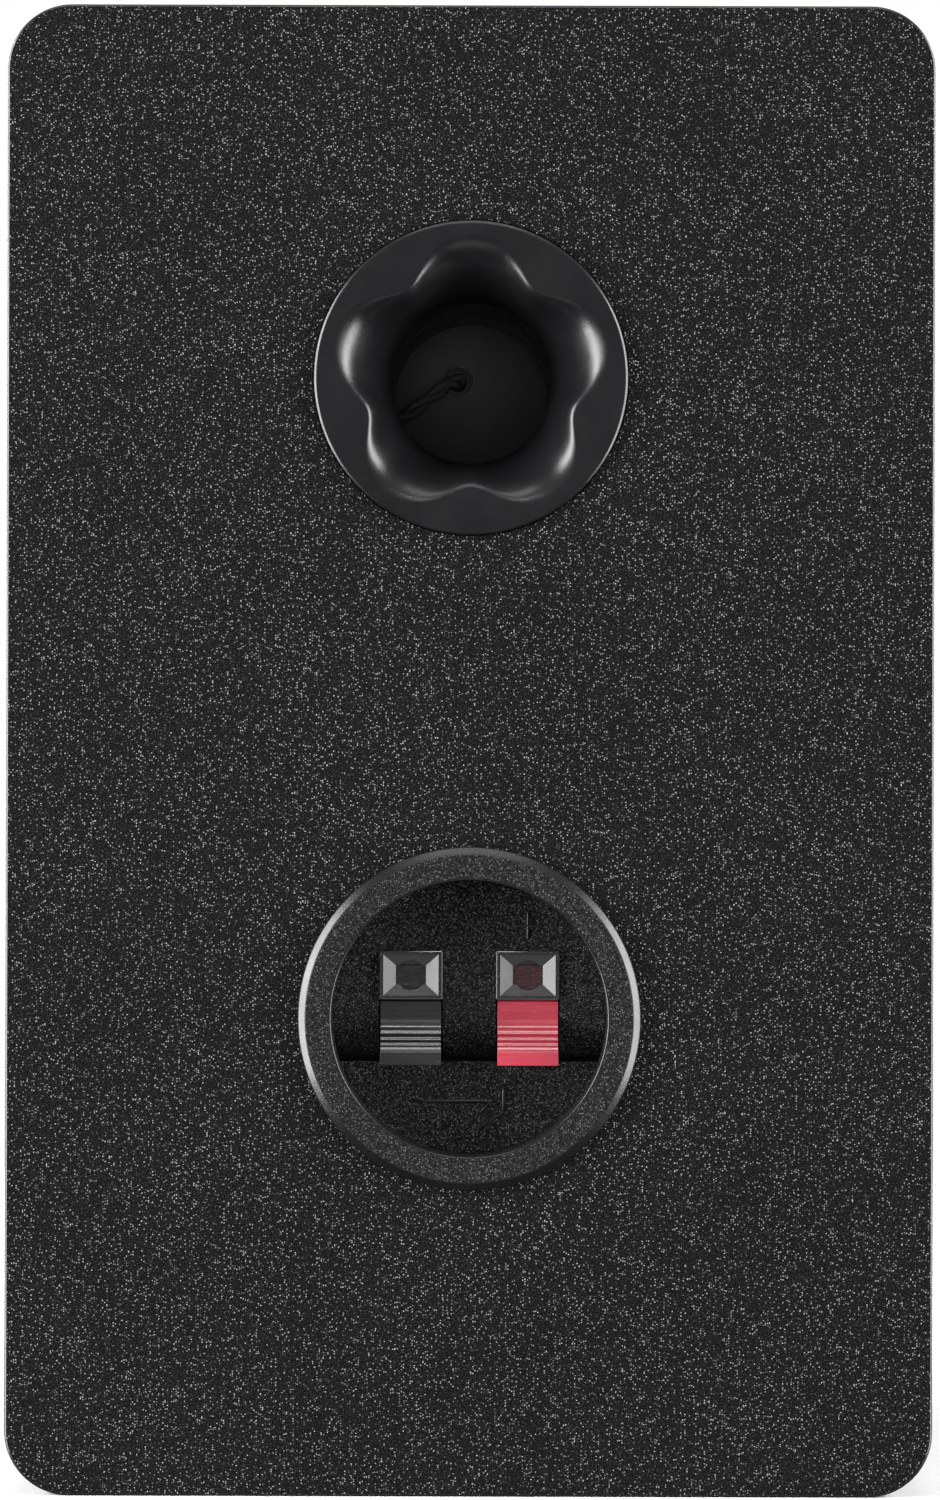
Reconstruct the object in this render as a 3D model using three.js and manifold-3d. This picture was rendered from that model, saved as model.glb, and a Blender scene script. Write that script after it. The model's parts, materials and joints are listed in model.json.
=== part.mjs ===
// A two-way bookshelf loudspeaker. Millimetres, +Z up, the front towards -Y and the back towards +Y.
// The origin lies under the middle of the cabinet, on the surface that it stands on.

import * as THREE from 'three';
import { mergeVertices } from 'three/addons/utils/BufferGeometryUtils.js';
import { ParametricGeometry } from 'three/addons/geometries/ParametricGeometry.js';
import Module from 'manifold-3d';

const wasm = await Module();
wasm.setup();

// ---- Driving dimensions ----

const WIDTH = 150;
const HEIGHT = 241;
const FRONT_Y = -89; // front face of the baffle
const BACK_Y = 91; // back face of the rear panel
const CORNER_R = 10.5; // the four long edges of the cabinet
const WALL = 9;
const BAFFLE_T = 15;
const GAP = 0.3; // between pieces that meet
const FINE_GAP = 0.1; // between small moulded pieces
const RUNNING_GAP = 0.1; // between a bore's corners and its pin's

const PORT_Z = 180.8;
const THROAT_R = 13.1;
const TUBE_LENGTH = 85;

const CUP_Z = 77.3;
const CUP_FACE_Y = 93; // front of the terminal cup's ring; depths in the cup are measured from it
const TERMINAL_X = 9.525; // half the pitch of 19.05 between the two clips
const SIDES = { negative: TERMINAL_X, positive: -TERMINAL_X };

const WOOFER_Z = 74;
const TWEETER_Z = 184;

const ROUND = 32; // segments round a large turned piece
const MEDIUM = 20;
const SMALL = 10;

// ---- Materials ----

function material(color, roughness, metalness = 0) {
	return new THREE.MeshStandardMaterial({ color, roughness, metalness });
}

const wrapBlack = () => material(0x141416, 0.25);
const panelBlack = () => material(0x1c1c1c, 0.6);
const mouldedBlack = () => material(0x161616, 0.45);
const leverBlack = () => material(0x0e0e0f, 0.35);
const leverRed = () => material(0xb8283e, 0.35);
const foamBlack = () => material(0x1a1a1a, 0.95);
const springSteel = () => material(0x9a9a98, 0.35, 1);
const brass = () => material(0xb89b5a, 0.35, 1);
const paintedSteel = () => material(0x121212, 0.5, 0.2);
const rubberBlack = () => material(0x101010, 0.7);
const conePaper = () => material(0x1b1b1d, 0.75);
const spiderCloth = () => material(0xb48a4a, 0.9);
const aluminium = () => material(0xb9bcc0, 0.35, 1);
const copper = () => material(0xb4683a, 0.35, 1);
const zincSteel = () => material(0x8d9092, 0.4, 1);
const ferrite = () => material(0x2a2a2c, 0.7);
const silkBlack = () => material(0x161618, 0.8);
const circuitBoard = () => material(0x2d5a34, 0.5);
const ceramic = () => material(0xd8d3c6, 0.8);
const wadding = () => material(0xdad8d0, 1);
const leadSleeve = () => material(0x301012, 0.5);

// ---- Solids ----

// A closed geometry as a solid: shared corners merged, faces without area dropped, turned to face outwards.
function solidOf(geometry) {
	const bare = geometry.clone();
	bare.deleteAttribute('normal');
	bare.deleteAttribute('uv');
	const merged = mergeVertices(bare, 1e-4);
	const position = merged.getAttribute('position');
	const index = merged.index.array;
	const corner = [new THREE.Vector3(), new THREE.Vector3(), new THREE.Vector3()];
	const faces = [];
	let volume = 0;
	for (let i = 0; i < index.length; i += 3) {
		const [a, b, c] = [index[i], index[i + 1], index[i + 2]];
		if (a === b || b === c || c === a) continue;
		[a, b, c].forEach((vertex, k) => corner[k].fromBufferAttribute(position, vertex));
		volume += corner[0].dot(corner[1].clone().cross(corner[2]));
		faces.push([a, b, c]);
	}
	const outwards = volume < 0 ? faces.map(([a, b, c]) => [a, c, b]) : faces;
	return new wasm.Manifold(new wasm.Mesh({
		numProp: 3,
		vertProperties: position.array,
		triVerts: new Uint32Array(outwards.flat()),
	}));
}

function joined(first, ...others) {
	return others.reduce((sum, other) => sum.add(other), first);
}

function cut(first, ...tools) {
	return tools.reduce((rest, tool) => rest.subtract(tool), first);
}

const speaker = new THREE.Group();
speaker.name = 'bookshelf_speaker';

// Adds one named piece, with a material of its own, to the speaker.
function piece(name, solid, finish) {
	const mesh = solid.getMesh();
	const geometry = new THREE.BufferGeometry();
	geometry.setAttribute('position', new THREE.BufferAttribute(new Float32Array(mesh.vertProperties), 3));
	geometry.setIndex(new THREE.BufferAttribute(new Uint32Array(mesh.triVerts), 1));
	geometry.computeVertexNormals();
	const made = new THREE.Mesh(geometry, finish);
	made.name = name;
	speaker.add(made);
}

// A block between two corners.
function block([x0, y0, z0], [x1, y1, z1]) {
	const box = new THREE.BoxGeometry(x1 - x0, y1 - y0, z1 - z0);
	return solidOf(box.translate((x0 + x1) / 2, (y0 + y1) / 2, (z0 + z1) / 2));
}

// A profile of [radius, y] points turned about the line through (x, z) that runs along Y.
function turned(profile, segments, x = 0, z = 0) {
	const points = profile.map(([r, y]) => new THREE.Vector2(r, y));
	return solidOf(new THREE.LatheGeometry(points, segments).translate(x, 0, z));
}

// The same, for a profile that closes on itself off the axis.
function turnedRing(profile, segments, x = 0, z = 0) {
	return turned([...profile, profile[0]], segments, x, z);
}

// A profile of [radius, z] points turned about the vertical line through (x, y).
function turnedUpright(profile, segments, x, y) {
	const points = profile.map(([r, z]) => new THREE.Vector2(r, z));
	return solidOf(new THREE.LatheGeometry(points, segments).rotateX(Math.PI / 2).translate(x, y, 0));
}

function rod(r, y0, y1, segments, x = 0, z = 0) {
	return turned([[0, y0], [r, y0], [r, y1], [0, y1]], segments, x, z);
}

// A rod along X, centred on x.
function crossRod(r, length, segments, x, y, z) {
	return solidOf(new THREE.CylinderGeometry(r, r, length, segments).rotateZ(Math.PI / 2).translate(x, y, z));
}

// A shape drawn in (x, z), extruded along Y from y0 to y1.
function extrudedAlongY(shape, y0, y1, curveSegments = 6, bevel = 0) {
	const geometry = new THREE.ExtrudeGeometry(shape, {
		depth: y1 - y0 - 2 * bevel,
		curveSegments,
		bevelEnabled: bevel > 0,
		bevelThickness: bevel,
		bevelSize: bevel,
		bevelOffset: -bevel,
		bevelSegments: 2,
	});
	return solidOf(geometry.rotateX(Math.PI / 2).translate(0, y1 - bevel, 0));
}

// A shape drawn in (y, z), extruded along X, centred on x.
function extrudedAlongX(shape, x, width, curveSegments = 8) {
	const geometry = new THREE.ExtrudeGeometry(shape, { depth: width, curveSegments, bevelEnabled: false });
	const toYZ = new THREE.Matrix4().set(0, 0, 1, 0, 1, 0, 0, 0, 0, 1, 0, 0, 0, 0, 0, 1);
	return solidOf(geometry.applyMatrix4(toYZ).translate(x - width / 2, 0, 0));
}

// A rectangle with round corners in (x, z), standing on z = inset.
function roundedRectangle(inset, radius) {
	const [left, right] = [-WIDTH / 2 + inset, WIDTH / 2 - inset];
	const [low, high] = [inset, HEIGHT - inset];
	const outline = new THREE.Shape();
	outline.absarc(right - radius, low + radius, radius, -Math.PI / 2, 0);
	outline.absarc(right - radius, high - radius, radius, 0, Math.PI / 2);
	outline.absarc(left + radius, high - radius, radius, Math.PI / 2, Math.PI);
	outline.absarc(left + radius, low + radius, radius, Math.PI, Math.PI * 1.5);
	outline.closePath();
	return outline;
}

// Points of a semicircle of [radius, y], from the inner side to the outer side, bulging towards -Y.
function halfRoll(centreR, rollR, y, steps) {
	return Array.from({ length: steps + 1 }, (_, i) => {
		const angle = Math.PI * (1 - i / steps);
		return [centreR + rollR * Math.cos(angle), y - rollR * Math.sin(angle)];
	});
}

const back = depth => BACK_Y - depth; // depth behind the rear panel's face
const front = depth => FRONT_Y + depth; // depth behind the baffle's face
const cup = depth => CUP_FACE_Y - depth; // depth behind the cup ring's face

// ---- Cabinet ----

const PANEL_EDGE = 0.5;
const BAFFLE_EDGE = 1.5;
const SHELL_FRONT = front(BAFFLE_T) + GAP;
const SHELL_BACK = back(WALL) - GAP;

const WOOFER_FLANGE_R = 56;
const WOOFER_FLANGE_T = 3;
const WOOFER_HOLE_R = 47.9;
const WOOFER_SCREW_R = 53.2;
const TWEETER_PLATE_R = 40;
const TWEETER_PLATE_T = 3.5;
const TWEETER_HOLE_R = 32.8;
const TWEETER_SCREW_R = 36;
const SCREW_SHANK_R = 1.5;
const SCREW_SEGMENTS = 6;
const SCREW_DEPTH = 12;

const PORT_FLANGE_R = 25.4;
const PORT_FLANGE_SUNK = 2.6; // how far the flange's back lies below the panel's face
const PORT_FLANGE_PROUD = 1.2;
const PORT_HOLE_R = 22.3;

const CUP_FLANGE_R = 27.75;
const CUP_WALL_OUT = 23.8;
const CUP_WALL_IN = 22.3;

const screwAngles = [45, 135, 225, 315].map(THREE.MathUtils.degToRad);
const driverScrews = [
	...screwAngles.map((angle, i) => ({ name: `woofer_screw_${i + 1}`, angle, r: WOOFER_SCREW_R, z: WOOFER_Z })),
	...screwAngles.map((angle, i) => ({ name: `tweeter_screw_${i + 1}`, angle, r: TWEETER_SCREW_R, z: TWEETER_Z })),
].map(({ name, angle, r, z }) => ({ name, x: r * Math.cos(angle), z: z + r * Math.sin(angle), owner: z }));

// The bores that the driver screws pass through, in one driver or in the baffle.
function screwBores(owner, clearance, y0, y1) {
	return driverScrews
		.filter(screw => owner === null || screw.owner === owner)
		.map(screw => rod(SCREW_SHANK_R + clearance, y0, y1, SCREW_SEGMENTS, screw.x, screw.z));
}

function makeCabinetShell() {
	const outline = roundedRectangle(0, CORNER_R);
	outline.holes.push(roundedRectangle(WALL, 3));
	piece('cabinet_shell', extrudedAlongY(outline, SHELL_FRONT, SHELL_BACK), wrapBlack());
}

function makeFrontBaffle() {
	const inner = front(BAFFLE_T);
	const outline = roundedRectangle(0, CORNER_R);
	const slab = extrudedAlongY(outline, front(0), inner + 2 * BAFFLE_EDGE, 6, BAFFLE_EDGE);
	const behind = block([-WIDTH, inner, -10], [WIDTH, inner + 20, HEIGHT + 10]);
	const before = front(-1);
	const past = inner + 1;
	const holes = [
		rod(WOOFER_HOLE_R, before, past, ROUND, 0, WOOFER_Z),
		rod(WOOFER_FLANGE_R + GAP, before, front(WOOFER_FLANGE_T + GAP), ROUND, 0, WOOFER_Z),
		rod(TWEETER_HOLE_R, before, past, ROUND, 0, TWEETER_Z),
		rod(TWEETER_PLATE_R + GAP, before, front(TWEETER_PLATE_T + GAP), ROUND, 0, TWEETER_Z),
	];
	const bores = screwBores(null, GAP, before, front(SCREW_DEPTH + 1));
	piece('front_baffle', cut(slab, behind, ...holes, ...bores), panelBlack());
}

function makeRearPanel() {
	const inner = back(WALL);
	const slab = extrudedAlongY(roundedRectangle(0, CORNER_R), inner - 2 * PANEL_EDGE, back(0), 6, PANEL_EDGE);
	const behind = block([-WIDTH, inner - 10, -10], [WIDTH, inner, HEIGHT + 10]);
	const past = back(-1);
	const holes = [
		rod(PORT_HOLE_R, inner - 1, past, ROUND, 0, PORT_Z),
		rod(PORT_FLANGE_R + GAP, back(PORT_FLANGE_SUNK + GAP), past, ROUND, 0, PORT_Z),
		rod(CUP_WALL_OUT + GAP, inner - 1, past, ROUND, 0, CUP_Z),
	];
	piece('rear_panel', cut(slab, behind, ...holes), panelBlack());
}

const WADDING_T = 8;

function makeWadding() {
	const inner = WIDTH / 2 - WALL - 0.5;
	for (const [name, side] of [['wadding_left', 1], ['wadding_right', -1]]) {
		const xs = [side * inner, side * (inner - WADDING_T)].sort((a, b) => a - b);
		piece(name, block([xs[0], front(BAFFLE_T + 12), 22], [xs[1], back(WALL + 12), 216]), wadding());
	}
}

// ---- Port ----

const MOUTH_R = 20.2;
const LOBE_R = 2.6;
const LOBES = 5;
const FLARE_DEPTH = 20;
const FLARE_POWER = 4 / 3; // 1 gives the bell a quarter ellipse, and 2 a straight cone
const SPIGOT_R = 14;
const SPIGOT_FROM = 20; // depths below the flange's face
const SPIGOT_TO = 32;
const FLARE_SHELL_R = 21.9;

// The mouth's radius at an angle from +X, with one lobe pointing straight up.
function mouthRadius(angle) {
	return MOUTH_R + LOBE_R * Math.cos(LOBES * (angle - Math.PI / 2));
}

// The flare: a bell from the round throat out to the lobed mouth, inside a flanged shell.
function makePortFlare() {
	const face = back(-PORT_FLANGE_PROUD);
	const flangeBack = back(PORT_FLANGE_SUNK);
	const steps = 5;
	const edge = 0.4;
	const section = angle => {
		const reach = mouthRadius(angle) - THROAT_R;
		const bell = Array.from({ length: steps + 1 }, (_, i) => {
			const turn = (Math.PI / 2) * (1 - i / steps);
			const [out, down] = [Math.cos(turn), Math.sin(turn)].map(share => 1 - Math.max(share, 0) ** FLARE_POWER);
			return [THROAT_R + reach * out, face - FLARE_DEPTH * down];
		});
		return [
			[PORT_FLANGE_R, flangeBack],
			[PORT_FLANGE_R, face - edge],
			[PORT_FLANGE_R - edge, face],
			...bell,
			[THROAT_R, face - SPIGOT_TO],
			[SPIGOT_R, face - SPIGOT_TO],
			[SPIGOT_R, face - SPIGOT_FROM],
			[FLARE_SHELL_R, flangeBack],
			[PORT_FLANGE_R, flangeBack],
		];
	};
	const stacks = section(0).length - 1;
	const surface = (u, v, target) => {
		const angle = (u % 1) * 2 * Math.PI;
		const [r, y] = section(angle)[Math.round(v * stacks)];
		target.set(r * Math.cos(angle), y, PORT_Z + r * Math.sin(angle));
	};
	piece('port_flare', solidOf(new ParametricGeometry(surface, LOBES * 8, stacks)), mouldedBlack());
}

function makePortTube() {
	const face = back(-PORT_FLANGE_PROUD);
	const [far, step, near] = [face - TUBE_LENGTH, face - SPIGOT_TO - GAP, face - SPIGOT_FROM - 1];
	const socketR = SPIGOT_R + GAP;
	const outerR = socketR + 1.5;
	const profile = [[THROAT_R, far], [THROAT_R, step], [socketR, step], [socketR, near], [outerR, near], [outerR, far]];
	piece('port_tube', turnedRing(profile, MEDIUM, 0, PORT_Z), mouldedBlack());
}

// ---- Terminal cup ----
// Inside the cup a place is [depth below the ring's face, height above the cup's centre].

const FLOOR_DEPTH = 12;
const FLOOR_T = 1.6;
const CUP_DEPTH = 28;
const CUP_FLANGE_T = 1.4;
const BEVEL_WIDTH = 1.3;
const SHOULDER_R = 10; // the floor rolls inwards over the levers' trough
const TROUGH_TOP = 2.7;
const TROUGH_LOW = -7.4;

const GUIDE_HEIGHT = 6.68; // centre of a wire guide above the cup's centre
const GUIDE_SIZE = [10.3, 7.85];
const GUIDE_PLUG = [8.4, 6.3];
const GUIDE_FRONT = 11.2;
const GUIDE_BACK = 14.2;
const WIRE_HOLE_R = 2.45;

const LEVER_WIDTH = 9.9;
const AXLE_DEPTH = 25;
const AXLE_HEIGHT = 4;
const AXLE_R = 1;
const AXLE_LENGTH = 36.6;
const AXLE_SEGMENTS = 16;

const inCup = (depth, height) => [cup(depth), CUP_Z + height];

function shapeInCup(places) {
	return new THREE.Shape(places.map(([depth, height]) => new THREE.Vector2(...inCup(depth, height))));
}

// A block in the cup, centred on x, between two depths and two heights.
function cupBlock(x, width, depths, heights) {
	return block(
		[x - width / 2, cup(depths[1]), CUP_Z + heights[0]],
		[x + width / 2, cup(depths[0]), CUP_Z + heights[1]],
	);
}

// Places on an arc of the cup's section. At 0 degrees a place is deeper than the centre, and at 90 above it.
function cupArc([depth, height], radius, from, to, steps) {
	return Array.from({ length: steps + 1 }, (_, i) => {
		const angle = THREE.MathUtils.degToRad(from + ((to - from) * i) / steps);
		return [depth + radius * Math.cos(angle), height + radius * Math.sin(angle)];
	});
}

// The recess floor seen from the side: upper plate, rounded shoulder, trough and lower plate.
function floorSection() {
	const reach = CUP_WALL_OUT;
	const shoulder = [FLOOR_DEPTH + SHOULDER_R, TROUGH_TOP];
	const underFloor = FLOOR_DEPTH + FLOOR_T;
	const shelf = TROUGH_LOW - FLOOR_T;
	return shapeInCup([
		[FLOOR_DEPTH, reach],
		...cupArc(shoulder, SHOULDER_R, 180, 270, 7),
		[FLOOR_DEPTH + SHOULDER_R, TROUGH_LOW],
		[FLOOR_DEPTH, TROUGH_LOW],
		[FLOOR_DEPTH, -reach],
		[underFloor, -reach],
		[underFloor, shelf],
		[FLOOR_DEPTH + SHOULDER_R + FLOOR_T, shelf],
		[FLOOR_DEPTH + SHOULDER_R + FLOOR_T, TROUGH_TOP - SHOULDER_R + FLOOR_T],
		...cupArc(shoulder, SHOULDER_R - FLOOR_T, 270, 180, 4),
		[underFloor, reach],
	]);
}

function makeTerminalCup() {
	const shell = turnedRing([
		[CUP_WALL_IN, cup(0)],
		[CUP_FLANGE_R - BEVEL_WIDTH, cup(0)],
		[CUP_FLANGE_R, cup(CUP_FLANGE_T - 0.5)],
		[CUP_FLANGE_R, cup(CUP_FLANGE_T)],
		[CUP_WALL_OUT, cup(CUP_FLANGE_T)],
		[CUP_WALL_OUT, cup(CUP_DEPTH)],
		[CUP_WALL_IN, cup(CUP_DEPTH)],
	], ROUND, 0, CUP_Z);
	const within = rod((CUP_WALL_IN + CUP_WALL_OUT) / 2, cup(CUP_DEPTH), cup(0), ROUND, 0, CUP_Z);
	const floor = extrudedAlongX(floorSection(), 0, 2 * CUP_WALL_OUT).intersect(within);
	const ribs = [[0, 2], [16.6, 2.4], [-16.6, 2.4]].map(([x, width]) => (
		cupBlock(x, width, [FLOOR_DEPTH + 1, AXLE_DEPTH + 2.4], [AXLE_HEIGHT - 3, AXLE_HEIGHT + 3])
	));
	const openings = Object.values(SIDES).flatMap(x => [
		cupBlock(x, LEVER_WIDTH + 2 * GAP, [FLOOR_DEPTH - 1, AXLE_DEPTH], [TROUGH_LOW, TROUGH_TOP]),
		cupBlock(
			x,
			GUIDE_PLUG[0] + 2 * FINE_GAP,
			[FLOOR_DEPTH - 1, FLOOR_DEPTH + FLOOR_T + 1],
			[-1, 1].map(side => GUIDE_HEIGHT + side * (GUIDE_PLUG[1] / 2 + FINE_GAP)),
		),
	]);
	const bore = crossRod(AXLE_R + RUNNING_GAP, 2 * CUP_WALL_IN, AXLE_SEGMENTS, 0, ...inCup(AXLE_DEPTH, AXLE_HEIGHT));
	piece('terminal_cup', cut(joined(shell, floor, ...ribs), ...openings, bore), mouldedBlack());
}

function makeCupGasket() {
	const [inner, outer] = [CUP_WALL_OUT + 0.5, CUP_FLANGE_R - 1];
	const [y0, y1] = [BACK_Y + 0.05, cup(CUP_FLANGE_T) - 0.05];
	const profile = [[inner, y0], [outer, y0], [outer, y1], [inner, y1]];
	piece('cup_gasket', turnedRing(profile, MEDIUM, 0, CUP_Z), foamBlack());
}

const CONTACT_WIDTH = 5;
const CONTACT_T = 0.6;
const CONTACT_LEG = 11.5; // height of the contact's leg above the cup's centre
const COVER_FRONT = CUP_DEPTH + GAP;
const COVER_T = 1.5;

function makeCupBackCover() {
	const disc = rod(CUP_WALL_OUT, cup(COVER_FRONT + COVER_T), cup(COVER_FRONT), MEDIUM, 0, CUP_Z);
	const slots = Object.values(SIDES).map(x => cupBlock(
		x,
		CONTACT_WIDTH + 2 * GAP,
		[COVER_FRONT - 1, COVER_FRONT + COVER_T + 1],
		[CONTACT_LEG - GAP, CONTACT_LEG + CONTACT_T + GAP],
	));
	piece('cup_back_cover', cut(disc, ...slots), mouldedBlack());
}

// A plug with a proud rim, whose four sloping facets lead a wire into a round hole.
function makeWireGuide(side, x) {
	const [heightLow, heightHigh] = [-1, 1].map(sign => GUIDE_HEIGHT + (sign * GUIDE_SIZE[1]) / 2);
	const rim = cupBlock(x, GUIDE_SIZE[0], [GUIDE_FRONT, FLOOR_DEPTH - FINE_GAP], [heightLow, heightHigh]);
	const plug = cupBlock(
		x,
		GUIDE_PLUG[0],
		[GUIDE_FRONT, GUIDE_BACK],
		[-1, 1].map(sign => GUIDE_HEIGHT + (sign * GUIDE_PLUG[1]) / 2),
	);
	const [mouth, neck] = [[9, 6.7], [4.9, 3.1]];
	const funnelDepth = 0.9;
	const funnel = new THREE.BoxGeometry(1, 1, 1);
	const corners = funnel.getAttribute('position');
	for (let i = 0; i < corners.count; i++) {
		const atMouth = corners.getY(i) > 0;
		const size = atMouth ? mouth : neck;
		corners.setXYZ(
			i,
			x + corners.getX(i) * size[0],
			cup(atMouth ? GUIDE_FRONT : GUIDE_FRONT + funnelDepth),
			CUP_Z + GUIDE_HEIGHT + corners.getZ(i) * size[1],
		);
	}
	const hole = rod(WIRE_HOLE_R, cup(GUIDE_BACK + 1), cup(GUIDE_FRONT - 1), 16, x, CUP_Z + GUIDE_HEIGHT);
	piece(`wire_guide_${side}`, cut(joined(rim, plug), solidOf(funnel), hole), mouldedBlack());
}

// A push-down lever: a scooped tab in front, a boss on the axle, and an arm behind the wire hole.
function makeLever(side, x, finish) {
	const scoopR = 7.18;
	const scoopCentre = [5.12, 1];
	const bossR = 2.4;
	const outline = shapeInCup([
		[12.4, 2.4],
		...cupArc(scoopCentre, scoopR, 0, -81.3, 6),
		[6.2, -6.1],
		[6, -7.9],
		[7.6, -7.5],
		[9.5, -5.9],
		[10.5, -5.2],
		[12, -4.5],
		[15.5, -3.2],
		[20.5, -3.2],
		...cupArc([AXLE_DEPTH, AXLE_HEIGHT], bossR, -120, 90, 6),
		[22.5, 5.4],
		[17.2, 4.6],
		[16.8, 8.3],
		[15, 8.3],
		[15, 3.2],
		[14.4, 2.4],
	]);
	const bore = crossRod(AXLE_R + RUNNING_GAP, LEVER_WIDTH + 2, AXLE_SEGMENTS, x, ...inCup(AXLE_DEPTH, AXLE_HEIGHT));
	piece(`lever_${side}`, cut(extrudedAlongX(outline, x, LEVER_WIDTH), bore), finish);
}

function makeLeverAxle() {
	const axle = crossRod(AXLE_R, AXLE_LENGTH, AXLE_SEGMENTS, 0, ...inCup(AXLE_DEPTH, AXLE_HEIGHT));
	piece('lever_axle', axle, springSteel());
}

// The space of the small coil spring between the trough's shelf and the lever above it.
function makeLeverSpring(side, x) {
	const [low, high] = [CUP_Z + TROUGH_LOW + 0.1, CUP_Z - 3.4];
	const profile = [[1.2, low], [1.9, low], [1.9, high], [1.2, high], [1.2, low]];
	piece(`lever_spring_${side}`, turnedUpright(profile, SMALL, x, cup(18)), springSteel());
}

// A bent strip: the plate that the wire is pressed against, and the solder tab that leaves the cup.
function makeContact(side, x) {
	const [plateDepth, tabEnd] = [17.5, 34];
	const strip = shapeInCup([
		[plateDepth, 7.5],
		[plateDepth, CONTACT_LEG + CONTACT_T],
		[tabEnd, CONTACT_LEG + CONTACT_T],
		[tabEnd, CONTACT_LEG],
		[plateDepth + CONTACT_T, CONTACT_LEG],
		[plateDepth + CONTACT_T, 7.5],
	]);
	piece(`contact_${side}`, extrudedAlongX(strip, x, CONTACT_WIDTH), brass());
}

// ---- Woofer ----

const CONE_EDGE_R = 38.4;
const CONE_NECK_R = 13;
const CONE_DEPTH = 17;
const ROLL_CENTRE_R = 42.2;
const ROLL_R = 3.6;
const ROLL_CREST = 4; // how far the surround stands in front of the baffle

function makeWooferBasket() {
	const shell = turnedRing([
		[45.8, front(0)],
		[WOOFER_FLANGE_R, front(0)],
		[WOOFER_FLANGE_R, front(WOOFER_FLANGE_T)],
		[47.4, front(WOOFER_FLANGE_T)],
		[33.5, front(30)],
		[33.5, front(35.5)],
		[14.5, front(35.5)],
		[14.5, front(34)],
		[32, front(34)],
		[32, front(30.4)],
		[45.8, front(4)],
	], ROUND, 0, WOOFER_Z);
	const windows = [0, 1, 2, 3, 4, 5].map(i => {
		const angle = (i / 6) * 2 * Math.PI;
		const opening = new THREE.BoxGeometry(24, 18, 22).translate(42, front(18), 0);
		return solidOf(opening.rotateY(angle).translate(0, 0, WOOFER_Z));
	});
	const bores = screwBores(WOOFER_Z, GAP, front(-1), front(WOOFER_FLANGE_T + 1));
	piece('woofer_basket', cut(shell, ...windows, ...bores), paintedSteel());
}

function makeWooferGasketRing() {
	const profile = [[46.6, front(-0.7)], [46.6, front(-2)], [50, front(-2.3)], [50.6, front(-1.7)], [50.6, front(-0.7)]];
	piece('woofer_gasket_ring', turnedRing(profile, ROUND, 0, WOOFER_Z), rubberBlack());
}

function makeWooferSurround() {
	const [top, low, steps] = [front(-0.6), front(-0.1), 4];
	const crest = halfRoll(ROLL_CENTRE_R, ROLL_R, front(-ROLL_CREST) + ROLL_R, steps);
	const inside = halfRoll(ROLL_CENTRE_R, ROLL_R - 0.5, front(-ROLL_CREST) + ROLL_R, steps).reverse();
	const profile = [[36.6, top], ...crest.map(([r, y]) => [r, Math.min(y, top)]), [50, top], [50, low],
		...inside.map(([r, y]) => [r, Math.min(y, low)]), [36.6, low]];
	piece('woofer_surround', turnedRing(profile, ROUND, 0, WOOFER_Z), rubberBlack());
}

// The cone's depth at a radius: a gentle curve from its edge down to its neck.
function coneDepth(r) {
	const share = (CONE_EDGE_R - 2 - r) / (CONE_EDGE_R - 2 - CONE_NECK_R);
	return 0.2 + CONE_DEPTH * Math.max(share, 0) ** 0.88;
}

function makeWooferCone() {
	const radii = [CONE_EDGE_R, CONE_EDGE_R - 2, 25, CONE_NECK_R];
	const upper = radii.map(r => [r, front(coneDepth(r))]);
	const lower = radii.map(r => [r, front(coneDepth(r) + 0.8)]).reverse();
	piece('woofer_cone', turnedRing([...upper, ...lower], ROUND, 0, WOOFER_Z), conePaper());
}

// A spherical cap of a given base radius and height, as [radius, y] points from its base to its crest.
function domeProfile(baseR, baseDepth, height, steps) {
	const sphereR = (baseR ** 2 + height ** 2) / (2 * height);
	const reach = Math.asin(baseR / sphereR);
	return Array.from({ length: steps + 1 }, (_, i) => {
		const angle = reach * (1 - i / steps);
		return [sphereR * Math.sin(angle), front(baseDepth - height + sphereR * (1 - Math.cos(angle)))];
	});
}

function shellOfDome(baseR, baseDepth, height, thickness, steps) {
	const outside = domeProfile(baseR, baseDepth, height, steps);
	const inside = domeProfile(baseR - thickness, baseDepth, height - thickness, steps).reverse();
	return [...inside, ...outside];
}

function makeWooferDustCap() {
	const baseR = 16;
	const profile = shellOfDome(baseR, coneDepth(baseR) - 0.3, 5.2, 0.5, 4).reverse();
	piece('woofer_dust_cap', turned(profile, MEDIUM, 0, WOOFER_Z), conePaper());
}

function wooferRing(name, r0, r1, depth0, depth1, segments, finish) {
	const profile = [[r0, front(depth0)], [r1, front(depth0)], [r1, front(depth1)], [r0, front(depth1)]];
	piece(name, turnedRing(profile, segments, 0, WOOFER_Z), finish);
}

function makeWooferSpider() {
	const [inner, outer, waves, thickness] = [12.9, 31.6, 3, 0.5];
	const steps = waves * 2;
	const wave = Array.from({ length: steps + 1 }, (_, i) => {
		const swing = i === 0 || i === steps ? 0 : 0.8 * (i % 2 ? 1 : -1);
		return [inner + ((outer - inner) * i) / steps, front(31.5 + swing)];
	});
	const under = wave.map(([r, y]) => [r, y + thickness]).reverse();
	piece('woofer_spider', turnedRing([...wave, ...under], MEDIUM, 0, WOOFER_Z), spiderCloth());
}

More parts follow.
